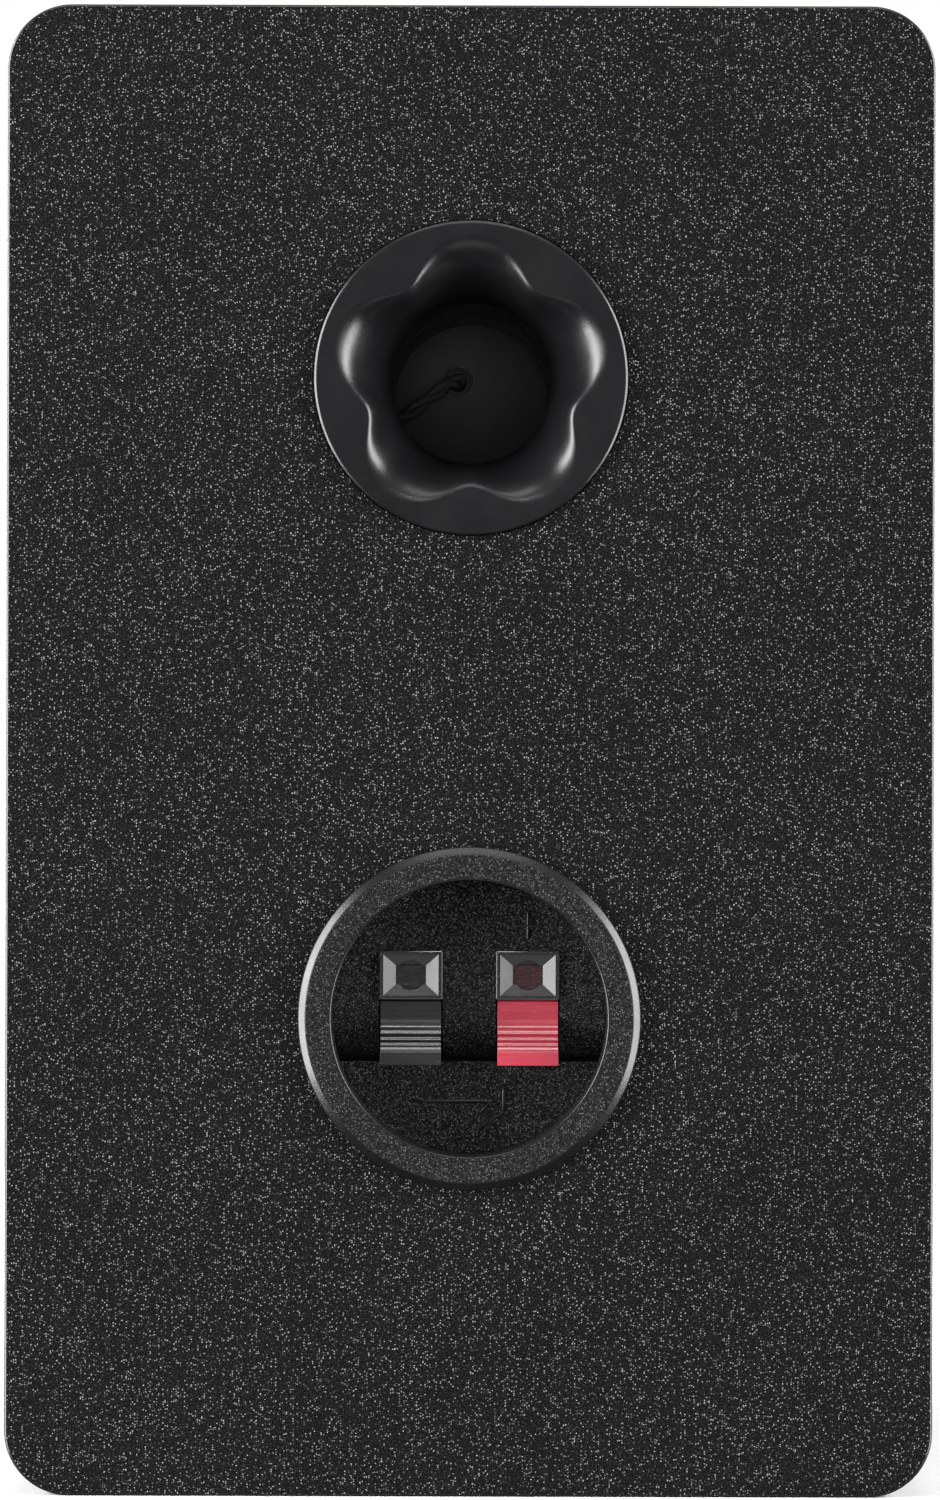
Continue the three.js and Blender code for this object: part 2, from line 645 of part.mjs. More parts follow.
function makeWooferMotor() {
	wooferRing('woofer_former', 12.3, 12.6, 17.5, 42, MEDIUM, aluminium());
	wooferRing('woofer_voice_coil', 12.7, 13.3, 34, 43, MEDIUM, copper());
	makeWooferSpider();
	wooferRing('woofer_top_plate', 13.8, 32, 35.8, 40, MEDIUM, zincSteel());
	wooferRing('woofer_magnet', 18, 36, 40.3, 54, MEDIUM, ferrite());
	const yoke = [[0, front(37)], [11.9, front(37)], [11.9, front(54.3)], [34, front(54.3)], [34, front(58.3)],
		[0, front(58.3)]];
	piece('woofer_yoke', turned(yoke, MEDIUM, 0, WOOFER_Z), zincSteel());
}

// A small board with the two solder lugs, riveted to the side of the basket's foot.
function makeWooferTerminalStrip() {
	const [x0, z0] = [34.2, WOOFER_Z - 6];
	const board = block([x0, front(31), z0], [x0 + 1.6, front(39), z0 + 12]);
	const lugs = [z0 + 1.5, z0 + 7.5].map(z => block([x0 + 1.2, front(36), z], [x0 + 6, front(36.8), z + 3]));
	piece('woofer_terminal_strip', joined(board, ...lugs), brass());
}

// ---- Tweeter ----

const DOME_R = 12.6;
const TWEETER_SURROUND_R = 15.5;

function makeTweeterFaceplate() {
	const throatR = TWEETER_SURROUND_R + 0.3;
	const guideR = 25;
	const guideDepth = 2.6;
	const steps = 4;
	const guide = Array.from({ length: steps + 1 }, (_, i) => {
		const share = i / steps;
		return [guideR - (guideR - throatR) * share, front(guideDepth * (1 - Math.cos((share * Math.PI) / 2)))];
	});
	const profile = [[TWEETER_PLATE_R, front(TWEETER_PLATE_T)], [TWEETER_PLATE_R, front(0.5)],
		[TWEETER_PLATE_R - 0.5, front(0)], ...guide, [throatR, front(TWEETER_PLATE_T)]];
	const bores = screwBores(TWEETER_Z, GAP, front(-1), front(TWEETER_PLATE_T + 1));
	piece('tweeter_faceplate', cut(turnedRing(profile, ROUND, 0, TWEETER_Z), ...bores), mouldedBlack());
}

function makeTweeterDiaphragm() {
	const [top, low] = [front(3.7), front(4.1)];
	const centre = (DOME_R + 0.2 + TWEETER_SURROUND_R) / 2;
	const rollR = (TWEETER_SURROUND_R - DOME_R - 0.2) / 2;
	const crest = halfRoll(centre, rollR, top, 3);
	const inside = halfRoll(centre, rollR - 0.3, low, 3).reverse();
	const surround = [[DOME_R + 0.1, top], ...crest.slice(1), [18, top], [18, low], ...inside, [DOME_R + 0.1, low]];
	piece('tweeter_surround', turnedRing(surround, MEDIUM, 0, TWEETER_Z), silkBlack());
	const dome = shellOfDome(DOME_R, 4, 5, 0.4, 4).reverse();
	piece('tweeter_dome', turned(dome, MEDIUM, 0, TWEETER_Z), silkBlack());
}

function tweeterRing(name, r0, r1, depth0, depth1, finish) {
	const profile = [[r0, front(depth0)], [r1, front(depth0)], [r1, front(depth1)], [r0, front(depth1)]];
	piece(name, turnedRing(profile, MEDIUM, 0, TWEETER_Z), finish);
}

const CHAMBER_R = 24;
const CHAMBER_FRONT = 21.7;
const CHAMBER_BACK = 34;
const CHAMBER_WALL = 2;
const GROMMET = { x: 2.45, z: TWEETER_Z + 3.3, holeR: 3.1, r: 2.8 };

function makeTweeterMotor() {
	tweeterRing('tweeter_voice_coil', 12.1, 12.5, 4.2, 8.6, copper());
	tweeterRing('tweeter_top_plate', 13.2, 30, 4.4, 8.3, zincSteel());
	tweeterRing('tweeter_magnet', 16, 32, 8.6, 17.6, ferrite());
	const yoke = [[0, front(5.4)], [11.5, front(5.4)], [11.5, front(17.9)], [30, front(17.9)], [30, front(21.4)],
		[0, front(21.4)]];
	piece('tweeter_yoke', turned(yoke, MEDIUM, 0, TWEETER_Z), zincSteel());
	const chamber = turned([
		[0, front(CHAMBER_BACK)],
		[CHAMBER_R - 1, front(CHAMBER_BACK)],
		[CHAMBER_R, front(CHAMBER_BACK - 1)],
		[CHAMBER_R, front(CHAMBER_FRONT)],
		[CHAMBER_R - CHAMBER_WALL, front(CHAMBER_FRONT)],
		[CHAMBER_R - CHAMBER_WALL, front(CHAMBER_BACK - CHAMBER_WALL)],
		[0, front(CHAMBER_BACK - CHAMBER_WALL)],
	], MEDIUM, 0, TWEETER_Z);
	const hole = rod(GROMMET.holeR, front(CHAMBER_FRONT + 5), front(CHAMBER_BACK + 1), SMALL, GROMMET.x, GROMMET.z);
	piece('tweeter_rear_chamber', cut(chamber, hole), mouldedBlack());
}

const LEAD_R = 1.3;

function makeTweeterGrommet() {
	const [inner, outer] = [LEAD_R + 0.45, GROMMET.r];
	const [y0, y1] = [front(CHAMBER_BACK - CHAMBER_WALL - 1), front(CHAMBER_BACK + 0.6)];
	const profile = [[inner, y0], [outer, y0], [outer, y1], [inner, y1]];
	piece('tweeter_grommet', turnedRing(profile, SMALL, GROMMET.x, GROMMET.z), rubberBlack());
}

function makeDriverScrews() {
	for (const { name, x, z } of driverScrews) {
		const profile = [[0, front(-1.3)], [1.7, front(-1.3)], [2.6, front(-0.7)], [2.6, front(-0.1)],
			[SCREW_SHANK_R, front(-0.1)], [SCREW_SHANK_R, front(SCREW_DEPTH)], [0, front(SCREW_DEPTH)]];
		piece(name, turned(profile, SCREW_SEGMENTS, x, z), paintedSteel());
	}
}

// ---- Crossover ----

const BOARD_X = 38;
const BOARD_Y = [6, 62];
const BOARD_Z = 13;
const BOARD_T = 1.6;
const BOARD_TOP = BOARD_Z + BOARD_T;
const BOARD_SCREWS = [[-33, 12], [33, 56]];

function makeCrossover() {
	const bores = BOARD_SCREWS.map(([x, y]) => (
		turnedUpright([[0, BOARD_Z - 1], [1.9, BOARD_Z - 1], [1.9, BOARD_TOP + 1], [0, BOARD_TOP + 1]], SCREW_SEGMENTS, x, y)
	));
	const board = block([-BOARD_X, BOARD_Y[0], BOARD_Z], [BOARD_X, BOARD_Y[1], BOARD_TOP]);
	piece('crossover_board', cut(board, ...bores), circuitBoard());
	BOARD_SCREWS.forEach(([x, y], i) => {
		const [spacerLow, spacerHigh] = [WALL + 0.1, BOARD_Z - 0.1];
		const spacer = [[2, spacerLow], [3.4, spacerLow], [3.4, spacerHigh], [2, spacerHigh], [2, spacerLow]];
		piece(`board_spacer_${i + 1}`, turnedUpright(spacer, SCREW_SEGMENTS, x, y), ceramic());
		const head = BOARD_TOP + 0.1;
		const screw = [[0, WALL + 0.2], [1.5, WALL + 0.2], [1.5, head], [3, head], [2.4, head + 1.6], [0, head + 1.6]];
		piece(`board_screw_${i + 1}`, turnedUpright(screw, SCREW_SEGMENTS, x, y), zincSteel());
	});
	const foot = BOARD_TOP + 0.1;
	const [coilX, coilY] = [11, 32];
	const bobbin = [[5, foot], [17, foot], [17, foot + 1.5], [7, foot + 1.5], [7, foot + 14.5], [17, foot + 14.5],
		[17, foot + 16], [5, foot + 16], [5, foot]];
	piece('inductor_bobbin', turnedUpright(bobbin, 20, coilX, coilY), mouldedBlack());
	const winding = [[7.2, foot + 1.8], [15.6, foot + 1.8], [15.6, foot + 14.2], [7.2, foot + 14.2], [7.2, foot + 1.8]];
	piece('inductor_winding', turnedUpright(winding, 20, coilX, coilY), copper());
	piece('tweeter_capacitor', crossRod(6.5, 28, 16, -22.5, 26, foot + 6.5), silkBlack());
	piece('crossover_resistor', block([-34, 44, foot], [-10, 52, foot + 8]), ceramic());
}

// ---- Leads, held inside all the way ----

// A lead of two twisted conductors, as one round sleeve through hand-picked points.
function lead(name, points, steps) {
	const path = new THREE.CatmullRomCurve3(points.map(point => new THREE.Vector3(...point)));
	const sides = 8;
	const section = new THREE.Shape(Array.from({ length: sides }, (_, i) => {
		const angle = (i / sides) * 2 * Math.PI;
		return new THREE.Vector2(LEAD_R * Math.cos(angle), LEAD_R * Math.sin(angle));
	}));
	piece(name, solidOf(new THREE.ExtrudeGeometry(section, { steps, extrudePath: path })), leadSleeve());
}

function makeLeads() {
	const boardLevel = BOARD_TOP + LEAD_R + 0.3;
	lead('input_lead', [
		[0, cup(36), CUP_Z + 12],
		[0, cup(42), CUP_Z + 9],
		[0, cup(45), CUP_Z - 8],
		[-2, cup(44), 48],
		[-4, cup(42), 26],
		[-6, cup(40), boardLevel],
		[-8, cup(37), boardLevel],
	], 13);
	lead('woofer_lead', [
		[42, front(37), WOOFER_Z],
		[46, front(42), WOOFER_Z - 2],
		[48, front(52), 60],
		[47, front(66), 38],
		[44, front(80), 24],
		[38, front(96), boardLevel + 2],
		[34, front(104), boardLevel],
	], 11);
	lead('tweeter_lead', [
		[GROMMET.x, front(CHAMBER_BACK - CHAMBER_WALL - 2), GROMMET.z],
		[GROMMET.x, front(CHAMBER_BACK + 5), GROMMET.z],
		[8, front(CHAMBER_BACK + 12), GROMMET.z - 4],
		[26, front(CHAMBER_BACK + 16), 168],
		[44, front(CHAMBER_BACK + 18), 140],
		[52, front(CHAMBER_BACK + 22), 100],
		[52, front(CHAMBER_BACK + 34), 56],
		[46, front(CHAMBER_BACK + 62), 26],
		[38, front(CHAMBER_BACK + 80), boardLevel + 2],
		[33, front(CHAMBER_BACK + 88), boardLevel],
	], 20);
}

// ---- The whole speaker ----

makeCabinetShell();
makeFrontBaffle();
makeRearPanel();
makeWadding();

makePortFlare();
makePortTube();

makeTerminalCup();
makeCupGasket();
makeCupBackCover();
for (const [side, x] of Object.entries(SIDES)) {
	makeWireGuide(side, x);
	makeLever(side, x, side === 'positive' ? leverRed() : leverBlack());
	makeLeverSpring(side, x);
	makeContact(side, x);
}
makeLeverAxle();

makeWooferBasket();
makeWooferGasketRing();
makeWooferSurround();
makeWooferCone();
makeWooferDustCap();
makeWooferMotor();
makeWooferTerminalStrip();

makeTweeterFaceplate();
makeTweeterDiaphragm();
makeTweeterMotor();
makeTweeterGrommet();
makeDriverScrews();

makeCrossover();
makeLeads();

export default speaker;
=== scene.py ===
"""The looks of a two-way bookshelf speaker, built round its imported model.

Lengths here are millimetres, and become metres where a mesh is made. The front faces -Y and the back +Y.
"""
import json
import math
import random

import bmesh
import bpy
from mathutils import Matrix, Quaternion, Vector


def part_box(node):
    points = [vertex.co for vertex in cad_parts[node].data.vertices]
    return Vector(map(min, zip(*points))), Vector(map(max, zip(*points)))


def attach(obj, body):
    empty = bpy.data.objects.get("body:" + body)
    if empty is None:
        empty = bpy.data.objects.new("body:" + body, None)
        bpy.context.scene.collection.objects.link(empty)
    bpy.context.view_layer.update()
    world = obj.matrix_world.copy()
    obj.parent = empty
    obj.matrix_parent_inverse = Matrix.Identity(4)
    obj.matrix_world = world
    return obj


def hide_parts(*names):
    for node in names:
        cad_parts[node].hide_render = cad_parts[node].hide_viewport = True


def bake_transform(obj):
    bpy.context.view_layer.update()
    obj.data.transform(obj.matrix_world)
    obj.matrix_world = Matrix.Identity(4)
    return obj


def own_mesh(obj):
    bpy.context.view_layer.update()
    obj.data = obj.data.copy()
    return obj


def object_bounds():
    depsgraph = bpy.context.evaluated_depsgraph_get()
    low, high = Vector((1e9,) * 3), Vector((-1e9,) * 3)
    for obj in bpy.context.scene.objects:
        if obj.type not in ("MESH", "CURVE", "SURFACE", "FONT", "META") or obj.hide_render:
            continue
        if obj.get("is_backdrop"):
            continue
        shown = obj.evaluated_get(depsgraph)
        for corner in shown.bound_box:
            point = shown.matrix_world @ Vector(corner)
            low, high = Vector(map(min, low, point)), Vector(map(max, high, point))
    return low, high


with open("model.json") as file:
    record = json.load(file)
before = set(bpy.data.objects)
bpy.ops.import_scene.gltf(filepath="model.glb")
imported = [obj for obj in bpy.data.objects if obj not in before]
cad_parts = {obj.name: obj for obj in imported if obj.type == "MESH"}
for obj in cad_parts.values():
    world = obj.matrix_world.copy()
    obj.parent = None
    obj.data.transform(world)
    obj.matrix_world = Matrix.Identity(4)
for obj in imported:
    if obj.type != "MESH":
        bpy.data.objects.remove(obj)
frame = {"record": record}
cad_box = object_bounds()

MM = 0.001
RECORD = frame["record"]
BODY_OF = {node: body for body, nodes in RECORD["behaviour"]["bodies"].items() for node in nodes}
SLOT_OF = {part["node"]: part["material_slot"] for part in RECORD["subparts"]}
FINE = 128  # segments round a large turned piece
MEDIUM = 96
SMALL = 48
TINY = 24
PAST = 1  # how far a cutting tool runs past the faces that it cuts
SIDES = ("negative", "positive")
DRIVER_SCREWS = 4


def corners(node):
    """Lowest and highest corner of a CAD node, in millimetres."""
    low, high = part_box(node)
    return low / MM, high / MM


def middle(node):
    low, high = corners(node)
    return (low + high) / 2


def radius_of(node, axis=0):
    """Half of a node's size along an axis, which is a round node's outer radius."""
    low, high = corners(node)
    return (high[axis] - low[axis]) / 2


# ---- Shapes ----


def soften(points, steps=4, closed=True):
    """An outline whose corners, where they carry a third number, become short curves of about that radius."""
    outline = []
    for i, point in enumerate(points):
        here = Vector(point[:2])
        radius = point[2] if len(point) > 2 else 0
        at_end = not closed and i in (0, len(points) - 1)
        if radius == 0 or at_end:
            outline.append(here)
            continue
        before = Vector(points[i - 1][:2]) - here
        after = Vector(points[(i + 1) % len(points)][:2]) - here
        start = here + before.normalized() * min(radius, before.length * 0.49)
        end = here + after.normalized() * min(radius, after.length * 0.49)
        for k in range(steps + 1):
            t = k / steps
            outline.append(start * (1 - t) ** 2 + here * 2 * t * (1 - t) + end * t ** 2)
    return outline


def arc(centre, radius, start, end, steps):
    """Points on an arc, with its angles in degrees."""
    angles = [math.radians(start + (end - start) * i / steps) for i in range(steps + 1)]
    return [(centre[0] + radius * math.cos(a), centre[1] + radius * math.sin(a)) for a in angles]


def solid(name, points, faces):
    """A closed mesh from points in millimetres, with doubled points merged and its faces turned outwards."""
    mesh = bpy.data.meshes.new(name)
    mesh.from_pydata([Vector(point) * MM for point in points], [], faces)
    work = bmesh.new()
    work.from_mesh(mesh)
    bmesh.ops.remove_doubles(work, verts=work.verts, dist=1e-7)
    bmesh.ops.recalc_face_normals(work, faces=work.faces)
    work.to_mesh(mesh)
    work.free()
    made = bpy.data.objects.new(name, mesh)
    bpy.context.scene.collection.objects.link(made)
    return made


def loft(name, rings, loop=False):
    """A skin through rings that hold as many points each: capped at both ends, or joined last to first."""
    size = len(rings[0])
    count = len(rings)
    faces = []
    for a in range(count if loop else count - 1):
        b = (a + 1) % count
        for i in range(size):
            j = (i + 1) % size
            faces.append((a * size + i, a * size + j, b * size + j, b * size + i))
    if not loop:
        faces.append(tuple(range(size)))
        faces.append(tuple(range((count - 1) * size, count * size)))
    return solid(name, [point for ring in rings for point in ring], faces)


def turned(name, profile, centre, axis=1, segments=FINE):
    """A profile of (radius, place along the axis), turned about the line through centre."""
    across, up = (axis + 1) % 3, (axis + 2) % 3
    rings = []
    for radius, along in profile:
        ring = []
        for i in range(segments):
            angle = 2 * math.pi * i / segments
            point = list(centre)
            point[axis] = along
            point[across] += radius * math.cos(angle)
            point[up] += radius * math.sin(angle)
            ring.append(point)
        rings.append(ring)
    return loft(name, rings, loop=profile[0][0] > 0)


def prism(name, outline, axis, low, high):
    """An outline drawn in the other two axes, extruded along the given one."""
    def ring(along):
        points = []
        for a, b in outline:
            point = [a, b]
            point.insert(axis, along)
            points.append(point)
        return points
    return loft(name, [ring(low), ring(high)])


def block(name, low, high):
    outline = [(low[1], low[2]), (high[1], low[2]), (high[1], high[2]), (low[1], high[2])]
    return prism(name, outline, 0, low[0], high[0])


def rod(name, radius, centre, low, high, axis=1, segments=FINE):
    return turned(name, [(0, low), (radius, low), (radius, high), (0, high)], centre, axis, segments)


def tube(name, path, radius, sides=12):
    """A round wire along a path of points, its frame carried from point to point without twisting."""
    path = [Vector(point) for point in path]
    rings = []
    side = None
    for i, point in enumerate(path):
        ahead = path[min(i + 1, len(path) - 1)] - path[max(i - 1, 0)]
        ahead.normalize()
        if side is None:
            side = ahead.orthogonal()
        side = (side - ahead * side.dot(ahead)).normalized()
        other = ahead.cross(side)
        turns = [2 * math.pi * k / sides for k in range(sides)]
        rings.append([point + (side * math.cos(a) + other * math.sin(a)) * radius for a in turns])
    return loft(name, rings)


def settle(made):
    """Replaces a piece's mesh by what its modifiers make of it."""
    bpy.context.view_layer.update()
    evaluated = made.evaluated_get(bpy.context.evaluated_depsgraph_get())
    mesh = bpy.data.meshes.new_from_object(evaluated)
    made.modifiers.clear()
    made.data = mesh
    return made


def combine(made, operation, others):
    for other in others:
        modifier = made.modifiers.new("join", "BOOLEAN")
        modifier.operation = operation
        modifier.solver = "EXACT"
        modifier.object = other
    settle(made)
    for other in others:
        bpy.data.objects.remove(other)
    return made


def cut(made, *tools):
    return combine(made, "DIFFERENCE", tools)


def fuse(made, *others):
    return combine(made, "UNION", others)


def group(made, *others):
    """Puts several separate closed shells in one piece."""
    work = bmesh.new()
    for each in (made, *others):
        work.from_mesh(each.data)
    work.to_mesh(made.data)
    work.free()
    for other in others:
        bpy.data.objects.remove(other)
    return made


def ease(made, width, segments=2, angle=40):
    """Rounds a piece's edges that are sharper than the angle."""
    modifier = made.modifiers.new("ease", "BEVEL")
    modifier.width = width * MM
    modifier.segments = segments
    modifier.limit_method = "ANGLE"
    modifier.angle_limit = math.radians(angle)
    modifier.use_clamp_overlap = True
    return settle(made)


# ---- Materials ----


class Finish:
    """One material's nodes, with a short call for each kind that is used here."""

    def __init__(self, name, **settings):
        self.material = bpy.data.materials.new(name)
        self.material.use_nodes = True
        self.tree = self.material.node_tree
        self.surface = self.tree.nodes["Principled BSDF"]
        self.place = self.tree.nodes.new("ShaderNodeTexCoord").outputs["Object"]
        self.normal = None
        for socket, value in settings.items():
            self.surface.inputs[socket.replace("_", " ")].default_value = value

    def node(self, kind, links=(), **settings):
        made = self.tree.nodes.new("ShaderNode" + kind)
        for key, value in settings.items():
            setattr(made, key, value)
        for socket, value in dict(links).items():
            if isinstance(value, bpy.types.NodeSocket):
                self.tree.links.new(value, made.inputs[socket])
            else:
                made.inputs[socket].default_value = value
        return made

    def stretched(self, scale):
        """Places scaled by axis, for a texture that runs longer one way."""
        return self.node("Mapping", {"Vector": self.place, "Scale": scale}).outputs["Vector"]

    def noise(self, size, detail=3, roughness=0.5, place=None):
        """Soft noise from 0 to 1 whose features are about size millimetres across."""
        links = {
            "Vector": place or self.place,
            "Scale": 1 / (size * MM),
            "Detail": detail,
            "Roughness": roughness,
        }
        return self.node("TexNoise", links).outputs["Fac"]

    def cells(self, size, output="Distance"):
        links = {"Vector": self.place, "Scale": 1 / (size * MM)}
        return self.node("TexVoronoi", links).outputs[output]

    def waves(self, size, direction):
        links = {"Vector": self.place, "Scale": 1 / (size * MM) / math.tau * 2}
        return self.node("TexWave", links, bands_direction=direction).outputs["Fac"]

    def sums(self, operation, a, b):
        return self.node("Math", {0: a, 1: b}, operation=operation).outputs[0]

    def spread(self, value, low, high, start=0.0, end=1.0):
        """Maps start to end onto low to high, held at both."""
        links = {"Value": value, "From Min": start, "From Max": end, "To Min": low, "To Max": high}
        return self.node("MapRange", links).outputs["Result"]

    def ramp(self, value, *stops):
        """Colours at places from 0 to 1, with blends between them."""
        made = self.node("ValToRGB", {"Fac": value})
        elements = made.color_ramp.elements
        while len(elements) < len(stops):
            elements.new(0.5)
        for element, (position, colour) in zip(elements, stops):
            element.position = position
            tone = (colour,) * 3 if isinstance(colour, (int, float)) else colour
            element.color = (*tone, 1)
        return made.outputs["Color"]

    def blend(self, share, first, second, kind="MIX"):
        made = self.node("Mix", {"Factor": share}, data_type="RGBA", blend_type=kind)
        for socket, value in ((made.inputs[6], first), (made.inputs[7], second)):
            if isinstance(value, bpy.types.NodeSocket):
                self.tree.links.new(value, socket)
            else:
                socket.default_value = (*value, 1)
        return made.outputs[2]

    def edge_wear_and_sheen(self, share):
        """Up to share on a piece's proud edges, and 0 elsewhere. Finishes lighten their edges with it: as
        wear, and on the plastics and the wrap also as painted sheen.
        """
        pointiness = self.node("NewGeometry").outputs["Pointiness"]
        return self.sums("MULTIPLY", self.spread(pointiness, 0.0, 1.0, 0.51, 0.6), share)

    def colour(self, value):
        self.tree.links.new(value, self.surface.inputs["Base Color"])

    def rough(self, value):
        self.tree.links.new(value, self.surface.inputs["Roughness"])

    def bump(self, height, depth):
        """Adds relief of about depth millimetres."""
        links = {"Height": height, "Distance": depth * MM}
        if self.normal is not None:
            links["Normal"] = self.normal
        self.normal = self.node("Bump", links).outputs["Normal"]
        self.tree.links.new(self.normal, self.surface.inputs["Normal"])


def tint(colour, factor):
    return tuple(channel * factor for channel in colour)


def moulded(name, colour, roughness, grain, depth, mottle=0.5, **settings):
    """Moulded plastic: a fine spark-eroded grain, faint cloudiness, and proud edges painted slightly lighter,
    partly as wear and partly as painted sheen.
    """
    made = Finish(name, **settings)
    cloud = made.noise(14, 2)
    fleck = made.noise(grain, 4)
    base = made.ramp(cloud, (0.3, tint(colour, 0.82)), (0.7, tint(colour, 1.18)))
    dusty = made.ramp(fleck, (0.4, tint(colour, 0.7)), (0.62, tint(colour, 1.5)))
    tone = made.blend(mottle, base, dusty)
    made.colour(made.blend(made.edge_wear_and_sheen(0.5), tone, tint(colour, 2.2)))
    made.rough(made.spread(made.noise(5), roughness * 0.85, roughness * 1.15, 0.3, 0.7))
    made.bump(fleck, depth)
    return made.material


def metal(name, colour, roughness, grain_scale=(1, 1, 1), grain=0.3):
    """Bare or plated metal with a fine drawn grain and darker handling marks."""
    made = Finish(name, Metallic=1.0)
    drawn = made.noise(grain, 5, 0.6, made.stretched(grain_scale))
    marks = made.noise(9, 4, 0.6)
    base = made.ramp(drawn, (0.3, tint(colour, 0.8)), (0.7, colour))
    stains = made.spread(marks, 0.0, 0.35, 0.5, 0.72)
    made.colour(made.blend(stains, base, tint(colour, 0.55)))
    made.rough(made.spread(drawn, roughness * 0.8, roughness * 1.3, 0.3, 0.7))
    made.bump(drawn, 0.004)
    return made.material


def wrap():
    """Satin black foil over board, with the board's faint orange peel under it and a few fine scuffs."""
    made = Finish("wrap", Coat_Weight=0.3, Coat_Roughness=0.12)
    peel = made.noise(1.6, 2)
    grain = made.noise(0.25, 3, 0.6, made.stretched((1, 0.12, 1)))
    cloud = made.noise(60, 1)
    base = made.ramp(cloud, (0.2, (0.0088, 0.0088, 0.0095)), (0.8, (0.0105, 0.0105, 0.0113)))
    scuffs = made.spread(made.noise(1.2, 5, 0.7, made.stretched((1, 0.15, 0.3))), 0.0, 0.3, 0.64, 0.8)
    tone = made.blend(scuffs, base, (0.02, 0.02, 0.021))
    # Proud edges painted lighter: partly wear, partly painted sheen.
    made.colour(made.blend(made.edge_wear_and_sheen(0.25), tone, (0.035, 0.035, 0.037)))
    made.rough(made.spread(grain, 0.29, 0.34, 0.3, 0.7))
    made.bump(peel, 0.006)
    made.bump(grain, 0.0015)
    return made.material


def speckled(name, size, speck, relief, gloss, ground=1.0):
    """Black texture finish: fine grains, painted shade in the pits between them and painted light on their
    ridges, and painted glints as bright dots on many grains.
    """
    made = Finish(name, Specular_IOR_Level=gloss)
    grain = made.noise(0.26, 2.5, 0.55)
    pits = made.cells(size * 1.2)
    height = made.sums("SUBTRACT", grain, made.sums("MULTIPLY", pits, 0.25))
    # Painted shade and light: the grain's colour is darker in its hollows and lighter on its ridges.
    painted_relief_tones = ((0.38, 0.0006), (0.5, 0.0025), (0.6, 0.01), (0.7, 0.035))
    tone = made.ramp(grain, *[(place, level * ground) for place, level in painted_relief_tones])
    # Painted glints: bright dots on a share of the grains, painted highlights of light caught by them.
    spot = made.cells(size)
    chosen = made.node("SeparateColor", {"Color": made.cells(size, "Color")}).outputs["Red"]
    bright = made.sums(
        "MULTIPLY", made.spread(chosen, 0.0, 1.0, 0.52, 0.95), made.spread(spot, 1.0, 0.0, 0.2, 0.37)
    )
    cloud = made.ramp(made.noise(30, 2), (0.3, 0.85), (0.7, 1.0))
    made.colour(made.blend(1.0, made.blend(bright, tone, (speck,) * 3), cloud, "MULTIPLY"))
    made.rough(made.spread(grain, 0.62, 0.38, 0.4, 0.65))
    made.bump(height, relief)
    return made.material


def panel_paint():
    return speckled("panel_paint", 0.35, 0.28, 0.14, 0.08)


def port_plastic():
    """Satin moulded plastic, smooth to the eye, with a fine grain that breaks up its highlights."""
    return moulded("port_plastic", (0.0055, 0.0055, 0.006), 0.27, 0.18, 0.018, 0.15)


def cup_plastic():
    return speckled("cup_plastic", 0.32, 0.14, 0.1, 0.17, ground=1.6)


def guide_plastic():
    return moulded(
        "guide_plastic", (0.014, 0.014, 0.015), 0.2, 0.4, 0.0002, 0.1,
        Coat_Weight=1.0, Coat_Roughness=0.12, Specular_IOR_Level=0.8,
    )


def foam():
    made = Finish("foam", Roughness=0.95)
    bubbles = made.cells(0.5)
    made.colour(made.ramp(bubbles, (0.1, 0.008), (0.6, 0.03)))
    made.bump(bubbles, 0.12)
    return made.material


def lever_plastic(name, dark, light, shaded):
    """Glossy acetal with faint flow marks and tiny scratches, and shaded on the arm behind the guide."""
    made = Finish(name, Coat_Weight=1.0, Coat_Roughness=0.14, Coat_IOR=1.6)
    flow = made.noise(3.5, 3, 0.5, made.stretched((0.35, 1, 1)))
    scratches = made.noise(0.2, 5, 0.6, made.stretched((0.05, 1, 1)))
    tone = made.ramp(flow, (0.3, dark), (0.7, light))
    # Proud edges painted lighter: partly wear, partly painted sheen.
    edge_wear_and_sheen = made.blend(made.edge_wear_and_sheen(0.35), tone, tint(light, 1.8))
    arm_from = corners("wire_guide_negative")[0].z * MM
    height = made.node("SeparateXYZ", {"Vector": made.place}).outputs["Z"]
    made.colour(made.blend(made.spread(height, 0.0, 1.0, arm_from, arm_from + 0.0005), edge_wear_and_sheen, shaded))
    made.rough(made.spread(scratches, 0.24, 0.3, 0.35, 0.7))
    made.bump(scratches, 0.0008)
    return made.material


def lever_black():
    return lever_plastic("lever_black", (0.008, 0.008, 0.0085), (0.012, 0.012, 0.013), (0.02, 0.02, 0.02))


def lever_red():
    return lever_plastic("lever_red", (0.25, 0.018, 0.033), (0.31, 0.026, 0.045), (0.05, 0.02, 0.024))


def spring_steel():
    return metal("spring_steel", (0.55, 0.55, 0.54), 0.28)


def contact_brass():
    """Brass strip under bright tin plating."""
    return metal("contact_brass", (0.78, 0.77, 0.74), 0.3, (1, 0.15, 1))


def basket_paint():
    """Black powder coat on pressed steel: a low orange peel, rubbed a little on its edges."""
    made = Finish("basket_paint", Specular_IOR_Level=0.5)
    peel = made.noise(0.9, 3)
    tone = made.ramp(made.noise(18, 3), (0.3, 0.011), (0.7, 0.018))
    made.colour(made.blend(made.edge_wear_and_sheen(0.6), tone, (0.09, 0.09, 0.09)))
    made.rough(made.spread(peel, 0.38, 0.52, 0.3, 0.7))
    made.bump(peel, 0.025)
    return made.material


